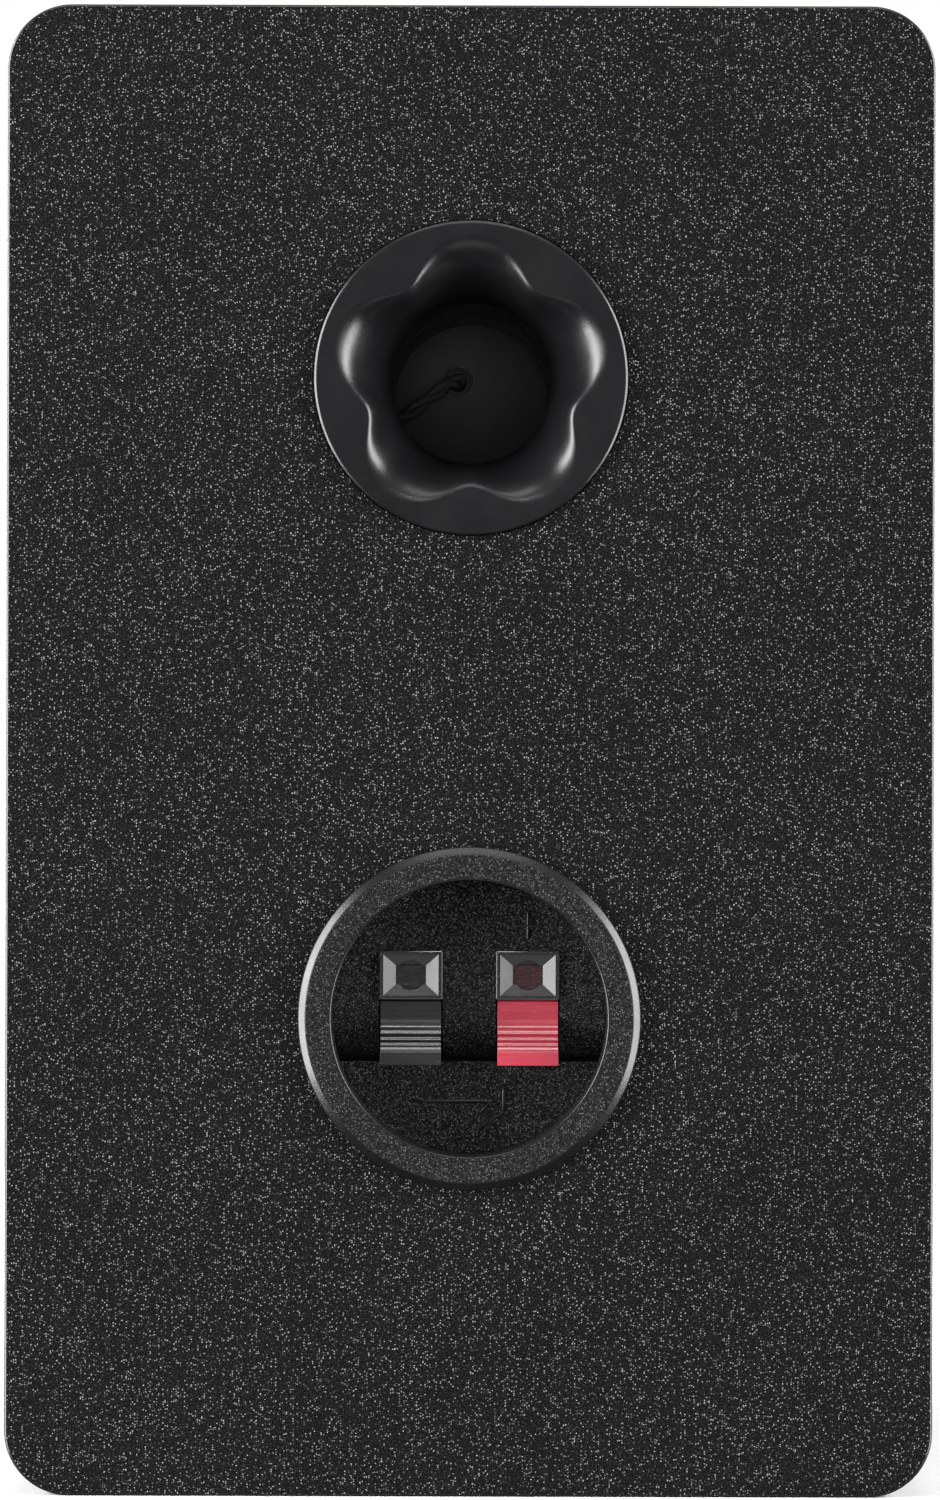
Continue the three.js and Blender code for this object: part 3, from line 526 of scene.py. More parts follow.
def rubber():
    """Matte butyl rubber with a bloom of fine dust."""
    made = Finish("rubber", Sheen_Weight=0.15, Sheen_Roughness=0.5)
    skin = made.noise(0.22, 4)
    bloom = made.spread(made.noise(7, 5, 0.6), 0.0, 0.45, 0.45, 0.75)
    tone = made.ramp(skin, (0.35, 0.009), (0.65, 0.016))
    made.colour(made.blend(bloom, tone, (0.028, 0.028, 0.027)))
    made.rough(made.spread(skin, 0.55, 0.75, 0.35, 0.65))
    made.bump(skin, 0.01)
    return made.material


def cone_paper():
    """Pressed paper pulp: short matted fibres under a thin dark coating."""
    made = Finish("cone_paper", Specular_IOR_Level=0.3)
    fibres = made.noise(0.9, 6, 0.68)
    mat = made.cells(1.1)
    pulp = made.sums("ADD", fibres, made.sums("MULTIPLY", mat, 0.35))
    base = made.ramp(made.noise(11, 3), (0.3, (0.018, 0.018, 0.019)), (0.7, (0.026, 0.026, 0.027)))
    light = made.spread(fibres, 0.0, 0.55, 0.52, 0.75)
    made.colour(made.blend(light, base, (0.07, 0.07, 0.072)))
    made.rough(made.spread(fibres, 0.6, 0.85, 0.3, 0.7))
    made.bump(pulp, 0.06)
    return made.material


def former_aluminium():
    return metal("former_aluminium", (0.78, 0.79, 0.8), 0.25)


def copper_wire():
    """Enamelled copper: clear varnish over bright metal, a little uneven from turn to turn."""
    made = Finish("copper_wire", Metallic=1.0, Coat_Weight=0.6, Coat_Roughness=0.1)
    uneven = made.noise(1.5, 4)
    made.colour(made.ramp(uneven, (0.3, (0.5, 0.2, 0.09)), (0.7, (0.78, 0.37, 0.2))))
    made.rough(made.spread(uneven, 0.22, 0.4, 0.3, 0.7))
    made.bump(made.noise(0.15, 3), 0.004)
    return made.material


def spider_cloth():
    """Resin-dipped cotton: an open plain weave with darker resin in its hollows."""
    made = Finish("spider_cloth", Sheen_Weight=0.3)
    weave = made.sums("MULTIPLY", made.waves(0.5, "X"), made.waves(0.5, "Z"))
    resin = made.noise(6, 4)
    thread = made.ramp(weave, (0.1, (0.2, 0.1, 0.035)), (0.7, (0.55, 0.34, 0.14)))
    made.colour(made.blend(made.spread(resin, 0.0, 0.5, 0.4, 0.7), thread, (0.33, 0.18, 0.06)))
    made.rough(made.spread(resin, 0.7, 0.9, 0.3, 0.7))
    made.bump(weave, 0.08)
    return made.material


def zinc_steel():
    return metal("zinc_steel", (0.6, 0.61, 0.63), 0.34, (1, 1, 0.2), 0.5)


def ferrite():
    """Ground ferrite: matte grey ceramic with small dark voids and chipped edges."""
    made = Finish("ferrite", Specular_IOR_Level=0.4)
    body = made.noise(0.5, 6, 0.65)
    voids = made.spread(made.cells(1.4), 1.0, 0.0, 0.05, 0.2)
    tone = made.ramp(body, (0.3, 0.035), (0.7, 0.06))
    pitted = made.blend(made.sums("MULTIPLY", voids, 0.7), tone, (0.012, 0.012, 0.012))
    made.colour(made.blend(made.edge_wear_and_sheen(0.5), pitted, (0.11, 0.11, 0.11)))
    made.rough(made.spread(body, 0.5, 0.75, 0.3, 0.7))
    made.bump(body, 0.02)
    return made.material


def screw_steel():
    """Black zinc: dark plating that is rubbed bright at its edges."""
    made = Finish("screw_steel", Metallic=0.85)
    rubbed = made.noise(0.6, 4)
    tone = made.ramp(rubbed, (0.3, 0.035), (0.7, 0.065))
    made.colour(made.blend(made.edge_wear_and_sheen(0.7), tone, (0.3, 0.3, 0.31)))
    made.rough(made.spread(rubbed, 0.26, 0.42, 0.3, 0.7))
    made.bump(rubbed, 0.008)
    return made.material


def faceplate_plastic():
    return moulded("faceplate_plastic", (0.018, 0.018, 0.0185), 0.42, 0.3, 0.014)


def dome_silk():
    """Coated silk: a very fine plain weave, softened by its damping coat."""
    made = Finish("dome_silk", Sheen_Weight=0.35, Sheen_Roughness=0.4)
    weave = made.sums("MULTIPLY", made.waves(0.22, "X"), made.waves(0.22, "Z"))
    coat = made.noise(2.5, 3)
    made.colour(made.ramp(weave, (0.1, (0.012, 0.012, 0.014)), (0.8, (0.03, 0.03, 0.033))))
    made.rough(made.spread(coat, 0.45, 0.7, 0.3, 0.7))
    made.bump(weave, 0.012)
    return made.material


def circuit_board():
    """Green solder mask over glass laminate, with broad copper tracks showing through it."""
    made = Finish("circuit_board", Coat_Weight=0.3, Coat_Roughness=0.15)
    tracks = made.spread(made.cells(15), 0.0, 1.0, 0.46, 0.5)
    glass = made.sums("MULTIPLY", made.waves(0.8, "X"), made.waves(0.8, "Y"))
    tone = made.ramp(glass, (0.2, (0.014, 0.07, 0.022)), (0.8, (0.02, 0.095, 0.03)))
    made.colour(made.blend(tracks, (0.035, 0.16, 0.05), tone))
    made.rough(made.spread(made.noise(4), 0.28, 0.42, 0.3, 0.7))
    made.bump(tracks, -0.03)
    return made.material


def spacer_nylon():
    return moulded("spacer_nylon", (0.68, 0.66, 0.58), 0.5, 0.5, 0.01, Subsurface_Weight=0.1)


def capacitor_sleeve():
    return moulded("capacitor_sleeve", (0.02, 0.03, 0.09), 0.25, 1.2, 0.008, Coat_Weight=0.4)


def resistor_ceramic():
    """Cast cement: chalky, with sand grains and small air holes."""
    made = Finish("resistor_ceramic", Specular_IOR_Level=0.3)
    sand = made.noise(0.35, 5, 0.65)
    holes = made.spread(made.cells(1.6), 1.0, 0.0, 0.04, 0.16)
    tone = made.ramp(sand, (0.3, (0.6, 0.57, 0.5)), (0.7, (0.78, 0.75, 0.68)))
    made.colour(made.blend(holes, tone, (0.2, 0.18, 0.16)))
    made.rough(made.spread(sand, 0.75, 0.95, 0.3, 0.7))
    made.bump(sand, 0.05)
    return made.material


def wadding():
    """Loose polyester fibre: a pale web of fine strands with soft hollows."""
    made = Finish("wadding", Sheen_Weight=0.4, Roughness=0.95, Subsurface_Weight=0.1)
    web = made.noise(1.1, 8, 0.75)
    hollows = made.noise(9, 3)
    strand = made.ramp(web, (0.35, (0.5, 0.49, 0.46)), (0.6, (0.82, 0.81, 0.77)))
    made.colour(made.blend(made.spread(hollows, 0.35, 0.0, 0.3, 0.6), strand, (0.4, 0.39, 0.36)))
    made.bump(web, 0.5)
    return made.material


def sleeve(name, colour):
    """Soft PVC insulation, a little greasy, with faint ripples along it."""
    made = Finish(name, Specular_IOR_Level=0.5)
    ripple = made.noise(1.4, 3)
    made.colour(made.ramp(ripple, (0.3, tint(colour, 0.75)), (0.7, colour)))
    made.rough(made.spread(ripple, 0.32, 0.5, 0.3, 0.7))
    made.bump(ripple, 0.02)
    return made.material


def lead_sleeve():
    return sleeve("lead_sleeve", (0.38, 0.02, 0.025))


def lead_sleeve_black():
    return sleeve("lead_sleeve_black", (0.026, 0.026, 0.028))


FINISHES = {
    make.__name__: make
    for make in (
        wrap, panel_paint, wadding, port_plastic, cup_plastic, guide_plastic, foam, lever_black, lever_red,
        spring_steel, contact_brass, basket_paint, rubber, cone_paper, former_aluminium, copper_wire,
        spider_cloth, zinc_steel, ferrite, screw_steel, faceplate_plastic, dome_silk, circuit_board,
        spacer_nylon, capacitor_sleeve, resistor_ceramic, lead_sleeve, lead_sleeve_black,
    )
}
made_finishes = {}


def finish_of(name):
    if name not in made_finishes:
        made_finishes[name] = FINISHES[name]()
    return made_finishes[name]


def shade(made, sharp=38):
    made.data.shade_smooth()
    made.data.set_sharp_from_angle(angle=math.radians(sharp))
    even = made.modifiers.new("even_shading", "WEIGHTED_NORMAL")
    even.keep_sharp = True


def stand_for(made, node, sharp=38, bends=False):
    """The piece replaces a CAD node and takes its finish. It rides on the node's body unless bends is set,
    when it is left unattached.
    """
    slot = SLOT_OF[node]
    if not made.data.materials:
        made.data.materials.append(finish_of(slot))
    shade(made, sharp)
    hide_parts(node)
    if not bends:
        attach(made, BODY_OF[node])
    return made


def turned_piece(node, way, profile, centre=None, axis=1, segments=FINE, bends=False):
    """A turned piece, named after its node and the way it is made, which stands for that node."""
    centre = middle(node) if centre is None else centre
    return stand_for(turned(f"{node}_{way}", profile, centre, axis, segments), node, bends=bends)


def extra_piece(name, finish, shells):
    """Closed shells in one piece that has no CAD node of its own, fixed to the cabinet."""
    made = group(*shells)
    made.name = name
    made.data.materials.append(finish_of(finish))
    shade(made)
    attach(made, "cabinet")


def two_finishes(made, main, other, takes_other):
    """The main finish, and the other one on the faces whose middles, in millimetres, pass the test."""
    made.data.materials.clear()
    for name in (main, other):
        made.data.materials.append(finish_of(name))
    for face in made.data.polygons:
        face.material_index = 1 if takes_other(face.center / MM) else 0


# ---- Stage and camera ----

CAMERA_DISTANCE = 1200
FRAME_SHARE = 0.9945  # of the picture's height that the back of the cabinet fills
SENSOR = 36
LEAN = 0.16  # degrees that the speaker leans in the picture
AIM_LIFT = 0.15  # of the camera above the middle of the back
CLIP_END = 20  # metres
FLOOR_HALF = 850  # half of a side of the square floor


def make_camera():
    low, high = corners("rear_panel")
    data = bpy.data.cameras.new("camera")
    data.sensor_width = SENSOR
    data.lens = SENSOR * CAMERA_DISTANCE / ((high.z - low.z) / FRAME_SHARE)
    data.clip_end = CLIP_END
    made = bpy.data.objects.new("camera", data)
    bpy.context.scene.collection.objects.link(made)
    made.location = Vector((0, high.y + CAMERA_DISTANCE, (low.z + high.z) / 2 + AIM_LIFT)) * MM
    made.rotation_mode = "QUATERNION"
    ahead = Vector((0, -1, 0)).to_track_quat("-Z", "Y")
    made.rotation_quaternion = ahead @ Quaternion((0, 0, 1), math.radians(LEAN))
    bpy.context.scene.camera = made


def softbox(name, place, size, power, gloss=True):
    """A rectangular light at a place in metres, aimed at the middle of the speaker."""
    data = bpy.data.lights.new(name, "AREA")
    data.shape = "RECTANGLE"
    data.size, data.size_y = size
    data.energy = power
    made = bpy.data.objects.new(name, data)
    bpy.context.scene.collection.objects.link(made)
    made.location = place
    target = middle("cabinet_shell") * MM
    made.rotation_euler = (target - made.location).to_track_quat("-Z", "Y").to_euler()
    made.visible_glossy = gloss


def make_lights():
    """Strips that graze each side, weaker boxes further round, and fills without gloss at front and back."""
    for side, name, strip, box in ((1, "left", 30, 2.6), (-1, "right", 24, 1.5)):
        softbox(f"strip_{name}", Vector((side * 0.98, 0.47, 0.2)), (0.42, 1.2), strip)
        softbox(f"box_{name}", Vector((side * 0.84, 0.8, 0.2)), (0.36, 0.5), box)
        softbox(f"front_strip_{name}", Vector((side * 0.9, -0.6, 0.4)), (0.4, 0.8), 12)
    softbox("strip_top", Vector((0, 0.45, 1.15)), (0.8, 0.3), 2.5)
    softbox("box_top", Vector((0, 0.97, 0.9)), (0.5, 0.12), 1.7)
    softbox("box_below", Vector((0, 0.95, -0.7)), (0.9, 0.5), 1.0)
    softbox("fill_back", Vector((0, 1.5, 0.1)), (0.25, 0.25), 14, gloss=False)
    softbox("fill_front", Vector((0, -1.5, 0.3)), (0.5, 0.5), 9, gloss=False)


def make_world():
    """A bright background, and a soft glow from the sides and above that fades out below."""
    world = bpy.data.worlds.new("studio")
    bpy.context.scene.world = world
    world.use_nodes = True
    tree = world.node_tree
    background = tree.nodes["Background"]
    background.inputs["Color"].default_value = (1, 1, 1, 1)
    place = tree.nodes.new("ShaderNodeTexCoord")
    split = tree.nodes.new("ShaderNodeSeparateXYZ")
    tree.links.new(place.outputs["Generated"], split.inputs[0])
    height = tree.nodes.new("ShaderNodeMapRange")
    tree.links.new(split.outputs["Z"], height.inputs["Value"])
    for socket, value in {"From Min": -0.25, "From Max": 0.25, "To Min": 0.01, "To Max": 0.2}.items():
        height.inputs[socket].default_value = value
    seen = tree.nodes.new("ShaderNodeLightPath")
    mix = tree.nodes.new("ShaderNodeMix")
    tree.links.new(seen.outputs["Is Camera Ray"], mix.inputs["Factor"])
    tree.links.new(height.outputs["Result"], mix.inputs["A"])
    mix.inputs["B"].default_value = 1.0
    tree.links.new(mix.outputs["Result"], background.inputs["Strength"])


def make_floor():
    level = corners("cabinet_shell")[0].z
    signs = ((-1, -1), (1, -1), (1, 1), (-1, 1))
    points = [(a * FLOOR_HALF, b * FLOOR_HALF, level) for a, b in signs]
    floor = solid("studio_floor", points, [(0, 1, 2, 3)])
    paper = Finish("floor_paper", Roughness=0.9, Specular_IOR_Level=0.1)
    paper.colour(paper.ramp(paper.noise(60, 3), (0.3, 0.86), (0.7, 0.9)))
    floor.data.materials.append(paper.material)
    floor.visible_glossy = False
    floor.visible_diffuse = False
    floor.visible_shadow = False
    floor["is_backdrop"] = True


# ---- Cabinet ----

CORNER_R = 10.5
CORNER_STEPS = 20
WALL = 9
SEAM = 0.1  # between the cabinet's boards, finer than the gap between their solids
SCREW_HOLE_R = 1.8


def rounded_rectangle(low, high, inset, radius):
    """The cabinet's outline in (x, z), drawn in by inset."""
    left, right = low.x + inset + radius, high.x - inset - radius
    bottom, top = low.z + inset + radius, high.z - inset - radius
    outline = []
    quarters = ((right, bottom, -90), (right, top, 0), (left, top, 90), (left, bottom, 180))
    for x, z, start in quarters:
        outline += arc((x, z), radius, start, start + 90, CORNER_STEPS)
    return outline


def board(name, node, layers):
    """A slab with the cabinet's outline, drawn in by an inset at each layer of (inset, y)."""
    low, high = corners(node)
    rings = []
    for inset, y in layers:
        outline = rounded_rectangle(low, high, inset, CORNER_R - inset)
        rings.append([(x, y, z) for x, z in outline])
    return loft(name, rings)


def edge_layers(radius, face, towards):
    """Layers that round a slab's edge off to its face; towards is 1 or -1 along Y."""
    steps = 5
    layers = []
    for i in range(steps + 1):
        angle = math.pi / 2 * i / steps
        layers.append((radius * (1 - math.cos(angle)), face - towards * radius * (1 - math.sin(angle))))
    return layers


def make_cabinet_shell():
    low, high = corners("cabinet_shell")
    front = corners("front_baffle")[1].y + SEAM
    back = corners("rear_panel")[0].y - SEAM
    ease_by = 0.2
    ends = [(0, front, ease_by), (0, back, ease_by), (WALL, back, ease_by), (WALL, front, ease_by)]
    inner_r = 3
    rings = []
    for inset, y in soften(ends, 2):
        radius = CORNER_R - inset if inset < WALL / 2 else inner_r + (WALL - inset)
        rings.append([(x, y, z) for x, z in rounded_rectangle(low, high, inset, radius)])
    stand_for(loft("cabinet_shell_wrapped", rings, loop=True), "cabinet_shell")


def screw_bores(driver, start, end):
    """Tools for the holes of a driver's screws, from one place along Y to another."""
    screws = [middle(f"{driver}_screw_{i + 1}") for i in range(DRIVER_SCREWS)]
    return [rod("bore", SCREW_HOLE_R, screw, start, end, segments=TINY) for screw in screws]


def make_front_baffle():
    low, high = corners("front_baffle")
    edge_r, rebate_play, pilot_depth = 1.5, 0.25, 13
    baffle = board("front_baffle_milled", "front_baffle", [(0, high.y)] + edge_layers(edge_r, low.y, -1))
    tools = []
    for driver, flange, rebate, hole_r in (
        ("woofer", "woofer_basket", 3.3, 47.9),
        ("tweeter", "tweeter_faceplate", 3.8, 32.8),
    ):
        centre = middle(flange)
        tools.append(rod("hole", hole_r, centre, low.y - PAST, high.y + PAST))
        tools.append(rod("rebate", radius_of(flange) + rebate_play, centre, low.y - PAST, low.y + rebate))
        tools += screw_bores(driver, low.y - PAST, low.y + pilot_depth)
    cut(baffle, *tools)
    stand_for(baffle, "front_baffle")


def make_rear_panel():
    """The face is texture paint, and the edge and the rounding carry the cabinet's wrap."""
    low, high = corners("rear_panel")
    edge_r, port_hole_r, port_rebate_r, port_rebate, cup_hole_r = 0.5, 22.3, 25.6, 2.9, 24.1
    paint_reach = 0.42  # how far in from the outline the paint begins
    panel = board("rear_panel_painted", "rear_panel", [(0, low.y)] + edge_layers(edge_r, high.y, 1))
    port, cup = middle("port_flare"), middle("terminal_cup")
    cut(
        panel,
        rod("hole", port_hole_r, port, low.y - PAST, high.y + PAST),
        rod("rebate", port_rebate_r, port, high.y - port_rebate, high.y + PAST),
        rod("hole", cup_hole_r, cup, low.y - PAST, high.y + PAST),
    )

    def at_edge(place):
        dx = max(abs(place.x) - (high.x - CORNER_R), 0)
        dz = max(abs(place.z - (low.z + high.z) / 2) - ((high.z - low.z) / 2 - CORNER_R), 0)
        return math.hypot(dx, dz) > CORNER_R - paint_reach

    two_finishes(panel, "panel_paint", "wrap", at_edge)
    stand_for(panel, "rear_panel")


def make_wadding(node, inward, seed):
    """A sheet of fibre glued to the side wall, crowned towards the inside and lumpy all over."""
    low, high = corners(node)
    random.seed(seed)
    columns, rows, lump_count, lump_height = 26, 36, 40, 0.1
    rim_slope, fullness, thinnest, tuck = 14, 0.82, 0.12, 1.2
    wall_x = low.x if inward > 0 else high.x
    thickness = high.x - low.x
    lumps = [(random.random(), random.random(), random.uniform(0.05, 0.12)) for _ in range(lump_count)]

    def place(i, j, share):
        u, v = i / columns, j / rows
        rim = min(1, rim_slope * u, rim_slope * v, rim_slope * (1 - u), rim_slope * (1 - v))
        crown = math.sqrt(max(rim * (2 - rim), 0)) * fullness
        swell = sum(math.exp(-((u - a) ** 2 + (v - b) ** 2) / r ** 2) for a, b, r in lumps) - 1
        depth = thickness * max(thinnest, min(1, crown + lump_height * swell * rim))
        inset = tuck * (1 - rim)
        y = low.y + inset + (high.y - low.y - 2 * inset) * u
        z = low.z + inset + (high.z - low.z - 2 * inset) * v
        return (wall_x + inward * depth * share, y, z)

    points, faces = [], []
    for share in (0, 1):
        points += [place(i, j, share) for j in range(rows + 1) for i in range(columns + 1)]
    width = columns + 1
    sheet = width * (rows + 1)
    for j in range(rows):
        for i in range(columns):
            a = j * width + i
            for base in (0, sheet):
                faces.append((base + a, base + a + 1, base + a + 1 + width, base + a + width))
    rim_loop = list(range(columns))
    rim_loop += [columns + j * width for j in range(rows)]
    rim_loop += [rows * width + i for i in range(columns, 0, -1)]
    rim_loop += [j * width for j in range(rows, 0, -1)]
    for k, a in enumerate(rim_loop):
        b = rim_loop[(k + 1) % len(rim_loop)]
        faces.append((a, b, b + sheet, a + sheet))
    made = solid(f"{node}_fibre", points, faces)
    stand_for(made, node)


# ---- Port ----

THROAT_R = 13.1
MOUTH_R = 20.5
LOBE_R = 2.7
LOBE_SPREAD = 0.7  # widens the lobes between their crests and the valleys
LOBES = 5
FLARE_DEPTH = 20
FLARE_POWER = 1.12  # 1 would make the bell a quarter ellipse, and 2 a straight cone
FLARE_SHELL_R = 21.9
FLANGE_SUNK = 2.6  # how far the flange's back lies below the panel's face
SPIGOT_R = 14
SPIGOT_DEPTH = 32
SPIGOT_PLAY = 0.15


def make_port_flare():
    """A bell from the round throat to a five-lobed mouth: broad in the lobes, and tight between them."""
    centre, flange_r = middle("port_flare"), radius_of("port_flare")
    face, back = corners("port_flare")[1].y, corners("rear_panel")[1].y - FLANGE_SUNK
    chamfer, ring_steps, bell_steps = 0.42, LOBES * 64, 28
    edge = soften([
        (flange_r, back),
        (flange_r, face - 0.3, 0.12),
        (flange_r - chamfer, face, 0.15),
        (flange_r - 1, face),
    ], closed=False)
    behind = [
        (THROAT_R, face - SPIGOT_DEPTH),
        (SPIGOT_R, face - SPIGOT_DEPTH),
        (SPIGOT_R, face - FLARE_DEPTH),
        (FLARE_SHELL_R, back),
    ]
    rings = []
    for k in range(ring_steps):
        angle = 2 * math.pi * k / ring_steps
        phase = LOBES * (angle - math.pi / 2)
        reach = MOUTH_R + LOBE_R * math.cos(phase) + LOBE_SPREAD * math.sin(phase) ** 2 - THROAT_R
        bell = []
        for i in range(bell_steps + 1):
            turn = math.pi / 2 * (1 - i / bell_steps)
            out = 1 - max(math.cos(turn), 0) ** FLARE_POWER
            down = 1 - math.sin(turn) ** FLARE_POWER
            bell.append((THROAT_R + reach * out, face - FLARE_DEPTH * down))
        across, up = math.cos(angle), math.sin(angle)
        rings.append([(centre.x + r * across, y, centre.z + r * up) for r, y in edge + bell + behind])
    stand_for(loft("port_flare_moulded", rings, loop=True), "port_flare")


def make_port_tube():
    low, high = corners("port_tube")
    outer, socket = radius_of("port_tube"), SPIGOT_R + SPIGOT_PLAY
    step = corners("port_flare")[0].y - SEAM
    profile = soften([
        (THROAT_R, low.y, 0.5), (THROAT_R, step), (socket, step), (socket, high.y, 0.3),
        (outer, high.y, 0.4), (outer, low.y, 0.5),
    ])
    turned_piece("port_tube", "moulded", profile, segments=MEDIUM)


# ---- Terminal cup: a place in it is (depth below the ring's face, height above the cup's centre) ----

FLOOR_DEPTH = 12
FLOOR_T = 1.6
CUP_DEPTH = 28
CUP_WALL_IN = 22.3
CUP_WALL_OUT = 23.8
BEVEL_WIDTH = 1.3
SHOULDER_R = 10
TROUGH_TOP = 2.7
TROUGH_LOW = -7.4
GUIDE_HEIGHT = 6.68
GUIDE_SIZE = (10.3, 7.85)
GUIDE_PLUG = (8.4, 6.3)
GUIDE_FRONT = 11.2
GUIDE_BACK = 14.2
WIRE_HOLE_R = 2.45
LEVER_WIDTH = 9.9
AXLE_DEPTH = 25
AXLE_HEIGHT = 4

cup_middle = middle("terminal_cup")
cup_face = corners("terminal_cup")[1].y


def in_cup(places):
    """Places in the cup as points in (y, z)."""
    return [(cup_face - depth, cup_middle.z + height) for depth, height in places]


def cup_block(name, x, width, depths, heights):
    low = (x - width / 2, cup_face - depths[1], cup_middle.z + heights[0])
    high = (x + width / 2, cup_face - depths[0], cup_middle.z + heights[1])
    return block(name, low, high)


def terminal_x(side):
    return middle(f"lever_{side}").x


def axle_bore(radius, start, end):
    """A tool along the levers' axle."""
    centre = Vector((0, cup_face - AXLE_DEPTH, cup_middle.z + AXLE_HEIGHT))
    return rod("bore", radius, centre, start, end, axis=0, segments=32)


def floor_section():
    """The recess floor, seen from the side: it rolls inwards over the levers' trough."""
    shoulder = (FLOOR_DEPTH + SHOULDER_R, TROUGH_TOP)
    under, shelf = FLOOR_DEPTH + FLOOR_T, TROUGH_LOW - FLOOR_T
    reach = CUP_WALL_OUT
    return in_cup([
        (FLOOR_DEPTH, reach),
        *arc(shoulder, SHOULDER_R, 180, 270, 24),
        (FLOOR_DEPTH + SHOULDER_R, TROUGH_LOW),
        (FLOOR_DEPTH, TROUGH_LOW),
        (FLOOR_DEPTH, -reach),
        (under, -reach),
        (under, shelf),
        (FLOOR_DEPTH + SHOULDER_R + FLOOR_T, shelf),
        (FLOOR_DEPTH + SHOULDER_R + FLOOR_T, TROUGH_TOP - SHOULDER_R + FLOOR_T),
        *arc(shoulder, SHOULDER_R - FLOOR_T, 270, 180, 12),
        (under, reach),
    ])


def make_terminal_cup():
    """The mould's texture stops short of the ring's inner lip and its bevel, which stay polished."""
    flange_r = radius_of("terminal_cup")
    flange_t, lip, bevel_depth, bore_r = 1.4, 0.4, 0.9, 1.1
    slot_play, window_play = 0.25, 0.05
    ring = soften([
        (CUP_WALL_IN, cup_face, lip),
        (flange_r - BEVEL_WIDTH, cup_face, 0.3),
        (flange_r, cup_face - bevel_depth, 0.3),
        (flange_r, cup_face - flange_t),
        (CUP_WALL_OUT, cup_face - flange_t),
        (CUP_WALL_OUT, cup_face - CUP_DEPTH),
        (CUP_WALL_IN, cup_face - CUP_DEPTH),
    ])
    shell = turned("terminal_cup_moulded", ring, cup_middle)
    within_r = (CUP_WALL_IN + CUP_WALL_OUT) / 2
    within = rod("within", within_r, cup_middle, cup_face - CUP_DEPTH, cup_face)
    floor = prism("floor", floor_section(), 0, -CUP_WALL_OUT, CUP_WALL_OUT)
    combine(floor, "INTERSECT", [within])
    rib_depths = (FLOOR_DEPTH + 1, AXLE_DEPTH + 2.4)
    rib_heights = (AXLE_HEIGHT - 3, AXLE_HEIGHT + 3)
    ribs = ((0, 2), (16.6, 2.4), (-16.6, 2.4))
    fuse(shell, floor, *[cup_block("rib", x, width, rib_depths, rib_heights) for x, width in ribs])
    openings = []
    for side in SIDES:
        x = terminal_x(side)
        slot_width, window_width = LEVER_WIDTH + 2 * slot_play, GUIDE_PLUG[0] + 2 * window_play
        slot_depths = (FLOOR_DEPTH - PAST, AXLE_DEPTH)
        openings.append(cup_block("slot", x, slot_width, slot_depths, (TROUGH_LOW, TROUGH_TOP)))
        window = [GUIDE_HEIGHT + sign * (GUIDE_PLUG[1] / 2 + window_play) for sign in (-1, 1)]
        window_depths = (FLOOR_DEPTH - PAST, FLOOR_DEPTH + FLOOR_T + PAST)
        openings.append(cup_block("window", x, window_width, window_depths, window))
    cut(shell, *openings, axle_bore(bore_r, -CUP_WALL_IN, CUP_WALL_IN))

    def is_polished(place):
        depth = cup_face - place.y
        radius = math.hypot(place.x - cup_middle.x, place.z - cup_middle.z)
        return radius > flange_r - BEVEL_WIDTH or (radius < CUP_WALL_IN + lip and depth < lip)

    two_finishes(shell, "cup_plastic", "port_plastic", is_polished)
    stand_for(shell, "terminal_cup")
    make_cup_marks()


def make_cup_marks():
    """Raised marks, polished in the mould: polarity above the clips, and an arrow into a bar below them."""
    stroke, depths = 0.5, (FLOOR_DEPTH - 0.4, FLOOR_DEPTH + 0.3)
    sign_height, sign_length = 14.75, 4.7
    arrow_x, arrow_height, arrow_length, head = 2, -13.8, 12, 1.9
    bar_gap, bar_length = 1.6, 4.2
    tip = arrow_x - arrow_length / 2

    def line(x, width, height, tall):
        return cup_block("mark", x, width, depths, (height - tall / 2, height + tall / 2))

    marks = [line(terminal_x(side), sign_length, sign_height, stroke) for side in SIDES]
    marks.append(line(terminal_x("positive"), stroke, sign_height, sign_length))
    marks.append(line(arrow_x, arrow_length, arrow_height, stroke))
    for sign in (-1, 1):
        outline = [
            (tip, 0), (tip + head, sign * head), (tip + head + stroke, sign * head), (tip + stroke * 1.4, 0),
        ]
        outline = [(x, cup_middle.z + arrow_height + height) for x, height in outline]
        marks.append(prism("mark", outline, 1, cup_face - depths[1], cup_face - depths[0]))
    marks.append(line(tip - bar_gap, stroke, arrow_height, bar_length))
    for mark in marks:
        ease(mark, 0.22, 3)
    extra_piece("cup_marks", "port_plastic", marks)


def make_cup_gasket():
    low, high = corners("cup_gasket")
    outer, inner, rounding = radius_of("cup_gasket"), CUP_WALL_OUT + 0.5, 0.2
    square = ((inner, low.y), (outer, low.y), (outer, high.y), (inner, high.y))
    profile = soften([(radius, y, rounding) for radius, y in square])
    turned_piece("cup_gasket", "foam", profile, cup_middle)


